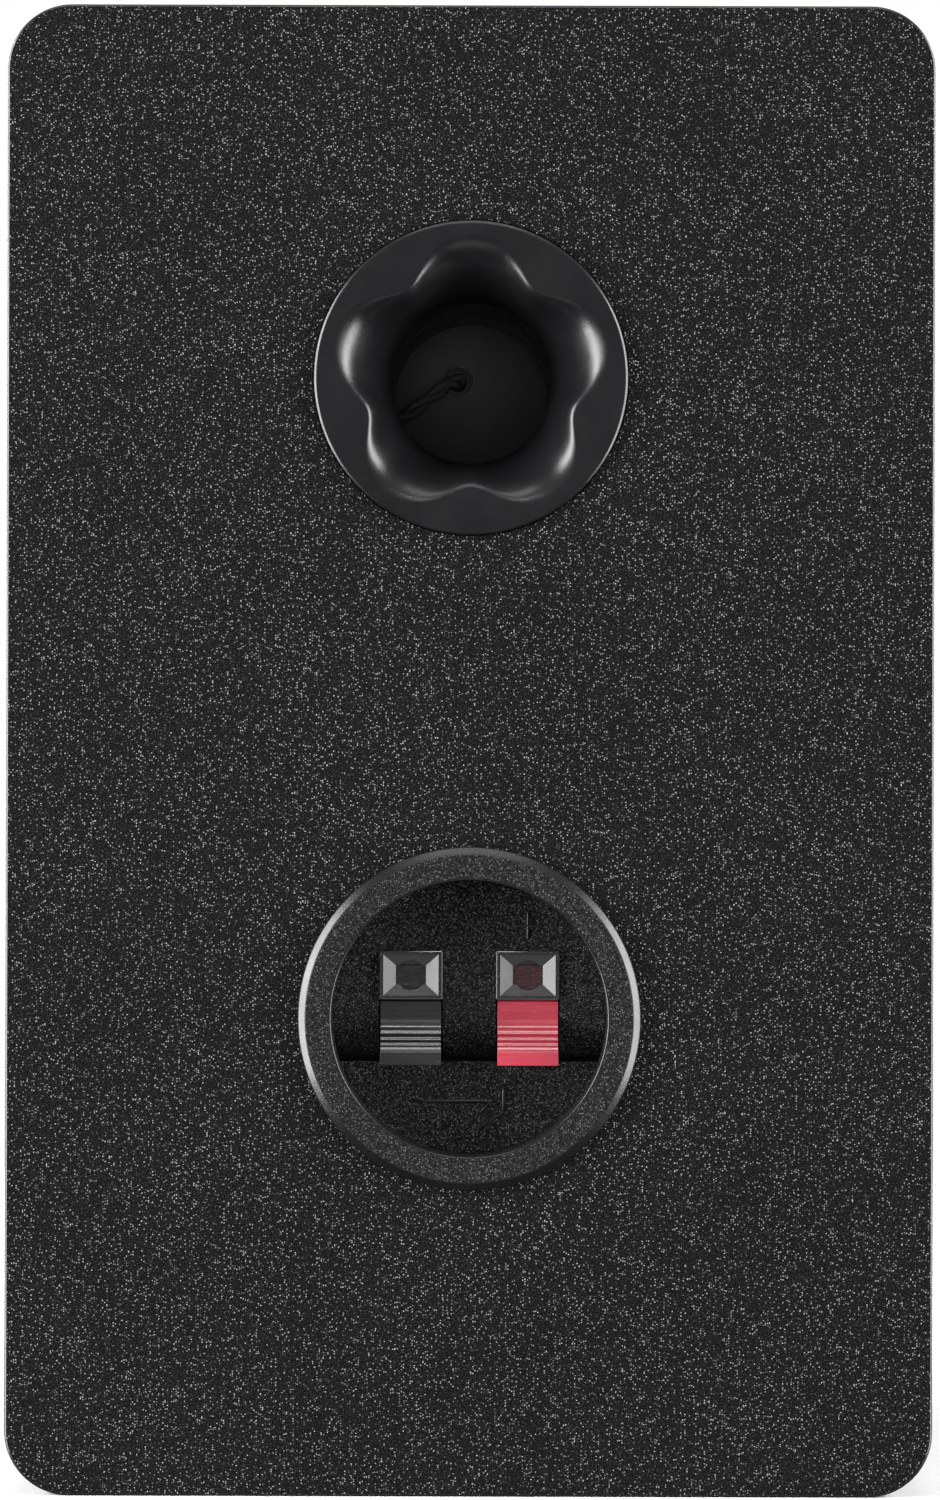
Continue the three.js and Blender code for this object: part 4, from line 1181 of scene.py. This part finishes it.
def make_cup_back_cover():
    """A shallow cap with a raised rim, and a slot for each contact's solder tab."""
    low, high = corners("cup_back_cover")
    radius, rim, recess, play, slot_height = radius_of("cup_back_cover"), 1.6, 0.5, 0.15, 0.9
    profile = soften([
        (0, high.y), (radius, high.y, 0.2), (radius, low.y, 0.3), (radius - rim, low.y, 0.2),
        (radius - rim - 0.4, low.y + recess, 0.2), (0, low.y + recess),
    ], closed=False)
    cover = turned("cup_back_cover_moulded", profile, cup_middle)
    slots = []
    for side in SIDES:
        tab_low, tab_high = corners(f"contact_{side}")
        top = tab_high.z + play
        start = (tab_low.x - play, low.y - PAST, top - slot_height)
        slots.append(block("slot", start, (tab_high.x + play, high.y + PAST, top)))
    cut(cover, *slots)
    stand_for(cover, "cup_back_cover")


def make_wire_guide(side):
    """A plug with a proud rim, whose four mitred facets lead a wire to a round hole."""
    x, height, face = terminal_x(side), cup_middle.z + GUIDE_HEIGHT, cup_face - GUIDE_FRONT
    mouth, neck, funnel_depth, over = (9, 6.7), (4.9, 3.1), 0.9, 0.2
    rim_depths, plug_depths = (GUIDE_FRONT, FLOOR_DEPTH - 0.02), (GUIDE_FRONT + 0.4, GUIDE_BACK)

    def slab(name, size, depths):
        return cup_block(name, x, size[0], depths, (GUIDE_HEIGHT - size[1] / 2, GUIDE_HEIGHT + size[1] / 2))

    guide = slab(f"wire_guide_{side}_moulded", GUIDE_SIZE, rim_depths)
    ease(guide, 0.12)
    fuse(guide, slab("plug", GUIDE_PLUG, plug_depths))
    rings = []
    signs = ((-1, -1), (1, -1), (1, 1), (-1, 1))
    stages = ((-over, mouth), (0, mouth), (funnel_depth, neck), (funnel_depth + over, neck))
    for depth, (width, tall) in stages:
        rings.append([(x + a * width / 2, face - depth, height + b * tall / 2) for a, b in signs])
    hole_from = cup_face - GUIDE_BACK - PAST
    hole = rod("hole", WIRE_HOLE_R, (x, 0, height), hole_from, face + PAST, segments=64)
    cut(guide, loft("funnel", rings), hole)
    stand_for(guide, f"wire_guide_{side}", sharp=15)


SCOOP_R = 7.18
SCOOP_CENTRE = (5.12, 1)
SCOOP_END = -81.3  # degrees
RIB_PITCH = 10.6  # degrees of the scoop
RIB_PHASE = 0.57  # of a pitch, from the top of the scoop to the first crest
RIB_HEIGHTS = (0.03, 0.42)  # at the top of the scoop and at its foot
RIB_GROWTH = (23, 66)  # degrees of the scoop between which the ribs grow


def scoop():
    """The finger scoop, with rounded ribs across it that stand prouder towards its foot."""
    places = []
    steps = 160
    for i in range(steps + 1):
        angle = -SCOOP_END * i / steps
        grown = max(0, min(1, (angle - RIB_GROWTH[0]) / (RIB_GROWTH[1] - RIB_GROWTH[0])))
        height = RIB_HEIGHTS[0] + (RIB_HEIGHTS[1] - RIB_HEIGHTS[0]) * grown
        wave = (1 + math.cos(2 * math.pi * (angle / RIB_PITCH - RIB_PHASE))) / 2
        radius = SCOOP_R - height * wave
        turn = math.radians(-angle)
        places.append((SCOOP_CENTRE[0] + radius * math.cos(turn), SCOOP_CENTRE[1] + radius * math.sin(turn)))
    return places


def make_lever(side):
    """A push-down lever: a scooped tab in front, a boss on the axle, and an arm behind the wire hole."""
    boss_r, bore_r = 2.4, 1.06
    outline = soften([
        (12.4, 2.4, 0.1),
        *scoop(),
        (6.2, -6.1),
        (6, -7.9, 0.35),
        (7.6, -7.5, 0.5),
        (9.5, -5.9, 0.5),
        (10.5, -5.2, 0.4),
        (12, -4.5, 0.5),
        (15.5, -3.2, 0.8),
        (20.5, -3.2),
        *arc((AXLE_DEPTH, AXLE_HEIGHT), boss_r, -120, 90, 20),
        (22.5, 5.4, 0.3),
        (17.2, 4.6, 0.3),
        (16.8, 8.3, 0.2),
        (15, 8.3, 0.2),
        (15, 3.2, 0.2),
        (14.4, 2.4, 0.2),
    ], 3)
    x = terminal_x(side)
    lever = prism(f"lever_{side}_moulded", in_cup(outline), 0, x - LEVER_WIDTH / 2, x + LEVER_WIDTH / 2)
    cut(lever, axle_bore(bore_r, x - LEVER_WIDTH, x + LEVER_WIDTH))
    ease(lever, 0.12, 2, 60)
    stand_for(lever, f"lever_{side}")


def make_lever_axle():
    low, high = corners("lever_axle")
    radius = radius_of("lever_axle", 2)
    profile = soften([(0, low.x), (radius, low.x, 0.3), (radius, high.x, 0.3), (0, high.x)], closed=False)
    turned_piece("lever_axle", "ground", profile, axis=0, segments=SMALL)


def make_lever_spring(side):
    """A coil spring with closed ends."""
    low, high = corners(f"lever_spring_{side}")
    centre = middle(f"lever_spring_{side}")
    wire_r, coil_r, turns, closed_turns, steps = 0.2, 1.55, 6, 0.8, 20
    path = []
    for i in range(turns * steps + 1):
        turn = i / steps
        rise = max(0, min(1, (turn - closed_turns) / (turns - 2 * closed_turns)))
        z = low.z + wire_r + (high.z - low.z - 2 * wire_r) * rise
        angle = 2 * math.pi * turn
        path.append((centre.x + coil_r * math.cos(angle), centre.y + coil_r * math.sin(angle), z))
    spring = tube(f"lever_spring_{side}_coil", path, wire_r, 8)
    stand_for(spring, f"lever_spring_{side}")
    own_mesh(spring)


def make_contact(side):
    """A bent strip: the plate that the wire is pressed against, and the solder tab behind the cover."""
    low, high = corners(f"contact_{side}")
    strip_t, bend, eye_r = 0.6, 1.1, 0.8
    outline = soften([
        (high.y, low.z, 0.2), (high.y, high.z, bend), (low.y, high.z, 0.2),
        (low.y, high.z - strip_t, 0.2), (high.y - strip_t, high.z - strip_t, bend - strip_t),
        (high.y - strip_t, low.z, 0.2),
    ])
    contact = prism(f"contact_{side}_stamped", outline, 0, low.x, high.x)
    eye_place = (middle(f"contact_{side}").x, low.y + 2, 0)
    cut(contact, rod("eye", eye_r, eye_place, high.z - 2, high.z + PAST, axis=2, segments=TINY))
    ease(contact, 0.08, 1)
    stand_for(contact, f"contact_{side}")


# ---- Drivers ----

woofer = middle("woofer_basket")
tweeter = middle("tweeter_faceplate")
front_y = corners("woofer_basket")[0].y


def front(depth):
    """The place along Y at a depth behind the baffle's face."""
    return front_y + depth


def at_depths(profile):
    """A profile of (radius, depth behind the baffle's face, rounding) as one along Y."""
    return [(point[0], front(point[1]), *point[2:]) for point in profile]


def turned_ring(node, way, bore, rounding):
    """A plain ring of the node's outer size, with a bore and eased edges."""
    low, high = corners(node)
    outer = radius_of(node)
    square = ((bore, low.y), (outer, low.y), (outer, high.y), (bore, high.y))
    profile = soften([(radius, y, rounding) for radius, y in square], 3)
    turned_piece(node, way, profile, segments=MEDIUM)


def wound(node, bore, wire, axis=1):
    """A winding: the outer and inner face both follow the turns of its wire."""
    low, high = corners(node)
    outer, sunk = radius_of(node), wire * 0.3
    start, end = low[axis], high[axis]
    turns = round((end - start) / wire)
    steps = turns * 4

    def wave(i):
        return abs(math.sin(math.pi * (i + 0.5) * turns / steps)) * sunk

    places = [start + (end - start) * (i + 0.5) / steps for i in range(steps)]
    outside = [(outer - sunk + wave(i), place) for i, place in enumerate(places)]
    inside = [(bore + sunk - wave(i), place) for i, place in enumerate(places)]
    profile = [
        (bore + sunk, start), (outer - sunk, start), *outside,
        (outer - sunk, end), (bore + sunk, end), *reversed(inside),
    ]
    turned_piece(node, "wound", profile, axis=axis, segments=MEDIUM)


def make_woofer_basket():
    """A pressed steel basket: a flat flange, a dished frame with six windows, and a seat for the magnet."""
    flange_r, window_count, window_half = radius_of("woofer_basket"), 6, 11
    profile = soften(at_depths([
        (45.8, 0, 0.3), (flange_r, 0, 0.7), (flange_r, 3, 0.3), (47.4, 3, 1.0), (33.5, 30, 1.5),
        (33.5, 35.5, 0.4), (14.5, 35.5, 0.3), (14.5, 34, 0.3), (32, 34, 0.5), (32, 30.4, 1.5), (45.8, 4, 1.0),
    ]), 5)
    basket = turned("woofer_basket_pressed", profile, woofer)
    centre = Matrix.Translation(woofer * MM)
    windows = []
    for i in range(window_count):
        window = block(
            "window", (30, front(9), woofer.z - window_half), (54, front(27), woofer.z + window_half)
        )
        ease(window, 3, 4)
        turn = Matrix.Rotation(2 * math.pi * i / window_count, 4, "Y")
        window.data.transform(centre @ turn @ centre.inverted())
        windows.append(window)
    cut(basket, *windows, *screw_bores("woofer", front(-PAST), front(3 + PAST)))
    stand_for(basket, "woofer_basket")


def make_woofer_gasket_ring():
    profile = soften(at_depths([
        (46.6, -0.7), (46.6, -1.9, 0.4), (48.6, -2.3, 0.5), (50, -2.3, 0.5), (50.6, -1.7, 0.3), (50.6, -0.7),
    ]))
    turned_piece("woofer_gasket_ring", "moulded", profile, woofer)


def follow_radius(made, outer, inner):
    """Bakes the piece's place into its mesh. Its outer and inner arguments are not used."""
    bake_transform(made)


def make_woofer_surround():
    """A rubber half-roll between the cone and the basket, with a flat landing on each side."""
    roll_r, roll_centre, crest, skin = 3.6, 42.2, 4, 0.5
    inner, outer, top, under = 36.6, 50, -0.6, -0.1

    def roll(radius, floor):
        points = arc((roll_centre, roll_r - crest), radius, 180, 360, 28)
        return [(r, min(depth, floor)) for r, depth in points]

    inside = roll(roll_r - skin, under)
    profile = [
        (inner, top), *roll(roll_r, top), (outer, top), (outer, under), *reversed(inside), (inner, under),
    ]
    made = turned_piece("woofer_surround", "moulded", at_depths(profile), woofer, bends=True)
    follow_radius(made, roll_centre + roll_r, roll_centre - roll_r)


CONE_EDGE_R = 38.4
CONE_NECK_R = 13
CONE_DEPTH = 17
CONE_LANDING = 2
CONE_FLARE = 0.88  # 1 would make the cone straight


def cone_depth(radius):
    """How deep the cone lies at a radius: a flat landing at its edge, then a gently flared slope."""
    share = (CONE_EDGE_R - CONE_LANDING - radius) / (CONE_EDGE_R - CONE_LANDING - CONE_NECK_R)
    return 0.2 + CONE_DEPTH * max(share, 0) ** CONE_FLARE


def make_woofer_cone():
    """The cone's curve, with three shallow rings pressed into it."""
    steps, thickness, ridge_height, ridge_width = 60, 0.8, 0.22, 0.7
    ridges = (20.5, 26.5, 32.5)

    def depth(radius):
        swell = sum(math.exp(-((radius - ridge) / ridge_width) ** 2) for ridge in ridges)
        return cone_depth(radius) - ridge_height * swell

    radii = [CONE_EDGE_R - (CONE_EDGE_R - CONE_NECK_R) * i / steps for i in range(steps + 1)]
    profile = [(r, depth(r)) for r in radii] + [(r, depth(r) + thickness) for r in reversed(radii)]
    turned_piece("woofer_cone", "pressed", at_depths(profile), woofer)


def dome(base_r, base_depth, height):
    """A spherical cap from its base to its crest, as (radius, depth)."""
    steps = 24
    sphere_r = (base_r ** 2 + height ** 2) / (2 * height)
    reach = math.asin(base_r / sphere_r)
    angles = [reach * (1 - i / steps) for i in range(steps + 1)]
    return [(sphere_r * math.sin(a), base_depth - height + sphere_r * (1 - math.cos(a))) for a in angles]


def dome_shell(base_r, base_depth, height, thickness):
    """The profile of a thin dome, as a closed skin with an outer and an inner face."""
    outside = dome(base_r, base_depth, height)
    inside = dome(base_r - thickness, base_depth, height - thickness)
    return at_depths([(max(r, 0), depth) for r, depth in [*reversed(outside), *inside]])


def make_woofer_dust_cap():
    base_r, height, thickness = 16, 5.2, 0.5
    profile = dome_shell(base_r, cone_depth(base_r) - 0.3, height, thickness)
    turned_piece("woofer_dust_cap", "pressed", profile, woofer)


def make_woofer_spider():
    """A disc of cloth pressed into round waves, glued to the coil's former inside and the basket outside."""
    outer, inner, thickness = radius_of("woofer_spider"), 12.9, 0.4
    level, swing, waves, steps = 31.7, 0.75, 6, 96
    upper = []
    for i in range(steps + 1):
        share = i / steps
        calm = min(1, 8 * share, 8 * (1 - share))
        wave = calm * swing * math.sin(2 * math.pi * waves * share)
        upper.append((inner + (outer - inner) * share, level + wave))
    profile = upper + [(r, depth + thickness) for r, depth in reversed(upper)]
    made = turned_piece("woofer_spider", "pressed", at_depths(profile), woofer, segments=MEDIUM, bends=True)
    follow_radius(made, outer - 1, inner + 1)


def make_yoke(node, pole_r, plate_from):
    """A steel plate with a round pole standing on it towards the front, and a shallow dish behind."""
    low, high = corners(node)
    plate_r, plate_front, dish = radius_of(node), front(plate_from), 0.8
    profile = soften([
        (0, low.y), (pole_r, low.y, 0.5), (pole_r, plate_front, 0.4), (plate_r, plate_front, 0.5),
        (plate_r, high.y, 1.0), (pole_r, high.y, 0.6), (pole_r - 1.5, high.y - dish, 0.6), (0, high.y - dish),
    ], closed=False)
    turned_piece(node, "turned", profile, segments=MEDIUM)


def make_woofer_motor():
    turned_ring("woofer_former", "rolled", 12.3, 0.08)
    wound("woofer_voice_coil", 12.7, 0.42)
    make_woofer_spider()
    turned_ring("woofer_top_plate", "turned", 13.8, 0.5)
    turned_ring("woofer_magnet", "ground", 18, 1.0)
    make_yoke("woofer_yoke", pole_r=11.9, plate_from=54.3)


def make_woofer_terminal_strip():
    """A small board with two solder lugs, riveted to the side of the basket's foot."""
    low, high = corners("woofer_terminal_strip")
    face = low.x + 1.6  # the board's outer side
    lug_t, lug_width, lug_reach, eye_r, rivet_r = 0.6, 3, 4.8, 0.7, 1.1
    lug_y, rivet_y = middle("woofer_terminal_strip").y + 1.4, middle("woofer_terminal_strip").y - 1.6
    strip = block("woofer_terminal_strip_riveted", low, (face, high.y, high.z))
    ease(strip, 0.3)
    rivet = [(0, face + 0.5), (rivet_r, face + 0.3, 0.3), (rivet_r, face - 0.1), (0, face - 0.1)]
    parts = []
    for z in (low.z + 3, low.z + 9):
        lug_low = (face - 0.2, lug_y - lug_t / 2, z - lug_width / 2)
        lug_high = (face - 0.4 + lug_reach, lug_y + lug_t / 2, z + lug_width / 2)
        lug = block("lug", lug_low, lug_high)
        eye_place = (face + lug_reach - 2, 0, z)
        cut(lug, rod("eye", eye_r, eye_place, lug_y - PAST, lug_y + PAST, segments=TINY))
        parts.append(ease(lug, 0.12))
        parts.append(turned("rivet", soften(rivet, closed=False), (0, rivet_y, z), 0, TINY))
    group(strip, *parts)
    stand_for(strip, "woofer_terminal_strip")


def make_tweeter_faceplate():
    """A round plate whose shallow horn leads in to the dome, with a fine groove round it."""
    low, high = corners("tweeter_faceplate")
    plate_r, plate_t = radius_of("tweeter_faceplate"), high.y - low.y
    throat_r, guide_r, guide_depth, groove_depth, steps = 15.8, 25, 2.6, 0.25, 20
    guide = []
    for i in range(steps + 1):
        share = i / steps
        radius = guide_r - (guide_r - throat_r) * share
        guide.append((radius, guide_depth * (1 - math.cos(share * math.pi / 2))))
    profile = soften(at_depths([
        (plate_r, plate_t), (plate_r, 0, 0.6), (guide_r + 2.6, 0), (guide_r + 2.4, groove_depth, 0.1),
        (guide_r + 1.8, groove_depth, 0.1), (guide_r + 1.6, 0), *guide, (throat_r, plate_t),
    ]))
    plate = turned("tweeter_faceplate_moulded", profile, tweeter)
    cut(plate, *screw_bores("tweeter", front(-PAST), front(plate_t + PAST)))
    stand_for(plate, "tweeter_faceplate")


def make_tweeter_diaphragm():
    """The silk dome, and the small half-roll that carries it."""
    dome_r, surround_r, landing_r, top, thickness, skin = 12.6, 15.5, 18, 3.7, 0.4, 0.3
    inner, roll_from = dome_r + 0.1, dome_r + 0.2
    centre, roll_r = (roll_from + surround_r) / 2, (surround_r - dome_r - 0.2) / 2
    outside = arc((centre, top), roll_r, 180, 360, 16)
    inside = arc((centre, top + thickness), roll_r - skin, 360, 180, 16)
    profile = [
        (inner, top), *outside[1:], (landing_r, top),
        (landing_r, top + thickness), *inside, (inner, top + thickness),
    ]
    made = turned_piece("tweeter_surround", "formed", at_depths(profile), tweeter, bends=True)
    follow_radius(made, surround_r, inner)
    dome_depth, dome_height = 4, 5
    turned_piece("tweeter_dome", "formed", dome_shell(dome_r, dome_depth, dome_height, thickness), tweeter)


def make_tweeter_motor():
    wound("tweeter_voice_coil", 12.1, 0.3)
    turned_ring("tweeter_top_plate", "turned", 13.2, 0.4)
    turned_ring("tweeter_magnet", "ground", 16, 0.9)
    make_yoke("tweeter_yoke", pole_r=11.5, plate_from=17.9)


def make_tweeter_rear_chamber():
    """The cap behind the tweeter, with a hole for its lead: this is what shows deep inside the port."""
    low, high = corners("tweeter_rear_chamber")
    radius, wall, hole_r = radius_of("tweeter_rear_chamber"), 2, 2.9
    profile = soften([
        (0, high.y), (radius, high.y, 1.6), (radius, low.y, 0.3), (radius - wall, low.y, 0.3),
        (radius - wall, high.y - wall, 1.0), (0, high.y - wall),
    ], closed=False)
    chamber = turned("tweeter_rear_chamber_moulded", profile, tweeter)
    hole = rod("hole", hole_r, middle("tweeter_grommet"), low.y + 5, high.y + PAST, segments=SMALL)
    cut(chamber, hole)
    stand_for(chamber, "tweeter_rear_chamber")


def make_tweeter_grommet():
    """A rubber ring with a groove that grips the chamber's wall."""
    low, high = corners("tweeter_grommet")
    outer, bore, neck = 2.8, 1.75, 2.55
    profile = soften([
        (bore, low.y, 0.2), (outer, low.y, 0.4), (outer, low.y + 1), (neck, low.y + 1.2),
        (neck, high.y - 0.8), (outer, high.y - 0.6), (outer, high.y, 0.4), (bore, high.y, 0.3),
    ])
    turned_piece("tweeter_grommet", "moulded", profile, segments=SMALL)


def make_driver_screw(node):
    """A pan-head screw with a cross recess and a threaded shank."""
    centre = middle(node)
    top, tip = corners(node)[0].y, corners(node)[1].y
    head_r, head_t, dome_t, dome_steps = 2.6, 1.2, 0.75, 8
    shank_r, pitch, thread, plain_end = 1.5, 0.9, 0.3, 1.5
    shank_from = top + head_t
    profile = [(0, top)]
    for i in range(1, dome_steps + 1):
        angle = math.pi / 2 * i / dome_steps
        profile.append((head_r * math.sin(angle), top + dome_t * (1 - math.cos(angle))))
    profile += [(head_r, shank_from - 0.1), (shank_r, shank_from)]
    for i in range(int((tip - shank_from - plain_end) / pitch)):
        y = shank_from + 0.4 + i * pitch
        profile += [(shank_r - thread, y), (shank_r, y + pitch / 2), (shank_r - thread, y + pitch * 0.9)]
    profile.append((0, tip))
    screw = turned(f"{node}_threaded", profile, centre, segments=32)
    recess = []
    for along, width in ((1.5, 0.4), (0.4, 1.5)):
        low = (centre.x - along, top - 0.5, centre.z - width)
        recess.append(block("recess", low, (centre.x + along, top + dome_t, centre.z + width)))
    cut(screw, *recess)
    stand_for(screw, node)


# ---- Crossover ----


def make_crossover_board():
    """A board with rounded corners, bored for its two screws and for the wires soldered to it."""
    low, high = corners("crossover_board")
    centre = middle("crossover_board")
    corner_r, bore_r, pad_r, sides = 2, 1.9, 0.5, 12
    rectangle = ((low.x, low.y), (high.x, low.y), (high.x, high.y), (low.x, high.y))
    outline = soften([(x, y, corner_r) for x, y in rectangle])
    plate = prism("crossover_board_etched", outline, 2, low.z, high.z)
    screws = [middle(f"board_screw_{number}") for number in (1, 2)]
    bores = [rod("bore", bore_r, screw, low.z - PAST, high.z + PAST, 2, TINY) for screw in screws]
    pads = [(x, y) for y in (22, 48) for x in (-36, -8)]
    pads += [(x, y) for y in (52, 12) for x in (20, 26)]
    bores += [rod("pad", pad_r, (x, y, 0), centre.z - 2, centre.z + 2, 2, sides) for x, y in pads]
    cut(plate, *bores)
    ease(plate, 0.12, 1)
    stand_for(plate, "crossover_board")


def make_board_fixings(number):
    """A spacer under the board, and the slotted screw that holds the board down on it."""
    spacer, screw = f"board_spacer_{number}", f"board_screw_{number}"
    low, high = corners(spacer)
    bore, outer = 2, 3.4
    profile = soften([(bore, low.z, 0.2), (outer, low.z, 0.3), (outer, high.z, 0.3), (bore, high.z, 0.2)])
    turned_piece(spacer, "moulded", profile, axis=2, segments=SMALL)
    low, high = corners(screw)
    centre = middle(screw)
    seat, shank_r, head_r, slot_half = high.z - 1.6, 1.5, 3, 0.4
    profile = soften([
        (0, low.z), (1.0, low.z), (shank_r, low.z + 1), (shank_r, seat), (head_r, seat, 0.2),
        (head_r - 0.5, high.z, 0.7), (0, high.z),
    ], closed=False)
    made = turned(f"{screw}_turned", profile, centre, 2, SMALL)
    slot_low = (centre.x - head_r - 0.2, centre.y - slot_half, high.z - 0.8)
    slot_high = (centre.x + head_r + 0.2, centre.y + slot_half, high.z + PAST)
    cut(made, block("slot", slot_low, slot_high))
    stand_for(made, screw)


def make_inductor():
    """A bobbin with two cheeks, and the copper wound between them."""
    low, high = corners("inductor_bobbin")
    outer, bore, core, cheek = radius_of("inductor_bobbin", 1), 5, 7, 1.5
    profile = soften([
        (bore, low.z, 0.3), (outer, low.z, 0.4), (outer, low.z + cheek, 0.4), (core, low.z + cheek, 0.2),
        (core, high.z - cheek, 0.2), (outer, high.z - cheek, 0.4), (outer, high.z, 0.4), (bore, high.z, 0.3),
    ])
    turned_piece("inductor_bobbin", "moulded", profile, axis=2, segments=MEDIUM)
    wound("inductor_winding", 7.2, 0.9, axis=2)


def make_capacitor():
    """A rolled-film capacitor: a sleeve shrunk over its ends, with a wire out of each."""
    low, high = corners("tweeter_capacitor")
    radius, end_sunk = radius_of("tweeter_capacitor", 2), 1
    left = [(0, low.x + end_sunk), (radius - 1.6, low.x + end_sunk, 0.3), (radius - 1.2, low.x, 0.4)]
    right = [(radius - 1.2, high.x, 0.4), (radius - 1.6, high.x - end_sunk, 0.3), (0, high.x - end_sunk)]
    profile = soften([*left, (radius, low.x, 1.2), (radius, high.x, 1.2), *right], closed=False)
    turned_piece("tweeter_capacitor", "sleeved", profile, axis=0, segments=64)
    centre = middle("tweeter_capacitor")
    make_component_wires("capacitor_wires", low.x + end_sunk, high.x - end_sunk, centre)


def make_resistor():
    """A ceramic trough filled with cement to just below its brim."""
    low, high = corners("crossover_resistor")
    wall, sunk = 1.2, 0.5
    body = block("crossover_resistor_cast", low, high)
    trough_low = (low.x + wall, low.y + wall, high.z - sunk)
    cut(body, block("trough", trough_low, (high.x - wall, high.y - wall, high.z + PAST)))
    ease(body, 0.5, 3)
    stand_for(body, "crossover_resistor")
    make_component_wires("resistor_wires", low.x, high.x, middle("crossover_resistor"))


def make_component_wires(name, left, right, centre):
    """The two tinned wires of a component, bent down to the board."""
    board_top = corners("crossover_board")[1].z
    reach, bend, wire_r = 2.2, 0.8, 0.4
    wires = []
    for start, way in ((left, -1), (right, 1)):
        end = start + way * reach
        route = [(start - way * 0.5, centre.z), (end, centre.z, bend), (end, board_top - 1)]
        path = [(x, centre.y, z) for x, z in soften(route, 6, closed=False)]
        wires.append(tube("wire", path, wire_r, 10))
    extra_piece(name, "zinc_steel", wires)


# ---- Leads: each is two insulated conductors twisted together ----


def smooth_path(points, steps):
    """A Catmull-Rom curve through given points."""
    points = [Vector(point) for point in points]
    ends = [points[0] * 2 - points[1], *points, points[-1] * 2 - points[-2]]
    path = []
    for a, b, c, d in zip(ends, ends[1:], ends[2:], ends[3:]):
        for i in range(steps):
            t = i / steps
            path.append(0.5 * (
                2 * b + (c - a) * t + (2 * a - 5 * b + 4 * c - d) * t ** 2 + (3 * b - a - 3 * c + d) * t ** 3
            ))
    path.append(points[-1])
    return path


CONDUCTOR_R = 0.62
TWIST = 11  # millimetres of lead for one turn of the pair


def make_lead(node, points, live_finish="lead_sleeve"):
    """A twisted pair along given points: one conductor has the live finish, and the other is black."""
    path = smooth_path(points, 24)
    strands = ([], [])
    side = None
    turned_by = 0
    for i, point in enumerate(path):
        ahead = (path[min(i + 1, len(path) - 1)] - path[max(i - 1, 0)]).normalized()
        side = ahead.orthogonal() if side is None else side
        side = (side - ahead * side.dot(ahead)).normalized()
        if i:
            turned_by += 2 * math.pi * (point - path[i - 1]).length / TWIST
        across = side * math.cos(turned_by) + ahead.cross(side) * math.sin(turned_by)
        strands[0].append(point + across * CONDUCTOR_R)
        strands[1].append(point - across * CONDUCTOR_R)
    live = tube(f"{node}_twisted", strands[0], CONDUCTOR_R)
    other = tube("other", strands[1], CONDUCTOR_R)
    live_faces = len(live.data.polygons)
    group(live, other)
    live.data.materials.append(finish_of(live_finish))
    live.data.materials.append(finish_of("lead_sleeve_black"))
    for index, face in enumerate(live.data.polygons):
        face.material_index = 0 if index < live_faces else 1
    stand_for(live, node)


def make_leads():
    board_level = corners("crossover_board")[1].z + 1.6
    woofer_back, chamber_back = front(37), corners("tweeter_rear_chamber")[1].y
    grommet = middle("tweeter_grommet")
    make_lead("input_lead", [
        (0, cup_face - 36, cup_middle.z + 12),
        (0, cup_face - 42, cup_middle.z + 9),
        (0, cup_face - 45, cup_middle.z - 8),
        (-2, cup_face - 44, 48),
        (-4, cup_face - 42, 26),
        (-6, cup_face - 40, board_level),
        (-8, cup_face - 37, board_level),
    ])
    make_lead("woofer_lead", [
        (42, woofer_back, woofer.z),
        (46, woofer_back + 5, woofer.z - 2),
        (48, woofer_back + 15, 60),
        (47, woofer_back + 29, 38),
        (44, woofer_back + 43, 24),
        (38, woofer_back + 59, board_level + 2),
        (34, woofer_back + 67, board_level),
    ])
    make_lead("tweeter_lead", [
        (grommet.x, chamber_back - 4, grommet.z),
        (grommet.x, chamber_back + 5, grommet.z),
        (8, chamber_back + 12, grommet.z - 4),
        (26, chamber_back + 16, 168),
        (44, chamber_back + 18, 140),
        (52, chamber_back + 22, 100),
        (52, chamber_back + 34, 56),
        (46, chamber_back + 62, 26),
        (38, chamber_back + 80, board_level + 2),
        (33, chamber_back + 88, board_level),
    ], "lead_sleeve_black")


# ---- The whole speaker ----

bpy.context.scene.view_settings.view_transform = "Standard"
make_camera()
make_world()
make_lights()
make_floor()

make_cabinet_shell()
make_front_baffle()
make_rear_panel()
make_wadding("wadding_left", -1, seed=11)
make_wadding("wadding_right", 1, seed=7)

make_port_flare()
make_port_tube()

make_terminal_cup()
make_cup_gasket()
make_cup_back_cover()
make_lever_axle()
for clip in SIDES:
    make_wire_guide(clip)
    make_lever(clip)
    make_lever_spring(clip)
    make_contact(clip)

make_woofer_basket()
make_woofer_gasket_ring()
make_woofer_surround()
make_woofer_cone()
make_woofer_dust_cap()
make_woofer_motor()
make_woofer_terminal_strip()

make_tweeter_faceplate()
make_tweeter_diaphragm()
make_tweeter_motor()
make_tweeter_rear_chamber()
make_tweeter_grommet()
for driver_name in ("woofer", "tweeter"):
    for number in range(DRIVER_SCREWS):
        make_driver_screw(f"{driver_name}_screw_{number + 1}")

make_crossover_board()
for number in (1, 2):
    make_board_fixings(number)
make_inductor()
make_capacitor()
make_resistor()
make_leads()

boxes = {"cad": cad_box, "visual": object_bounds()}
{name: [list(corner) for corner in box] for name, box in boxes.items()}
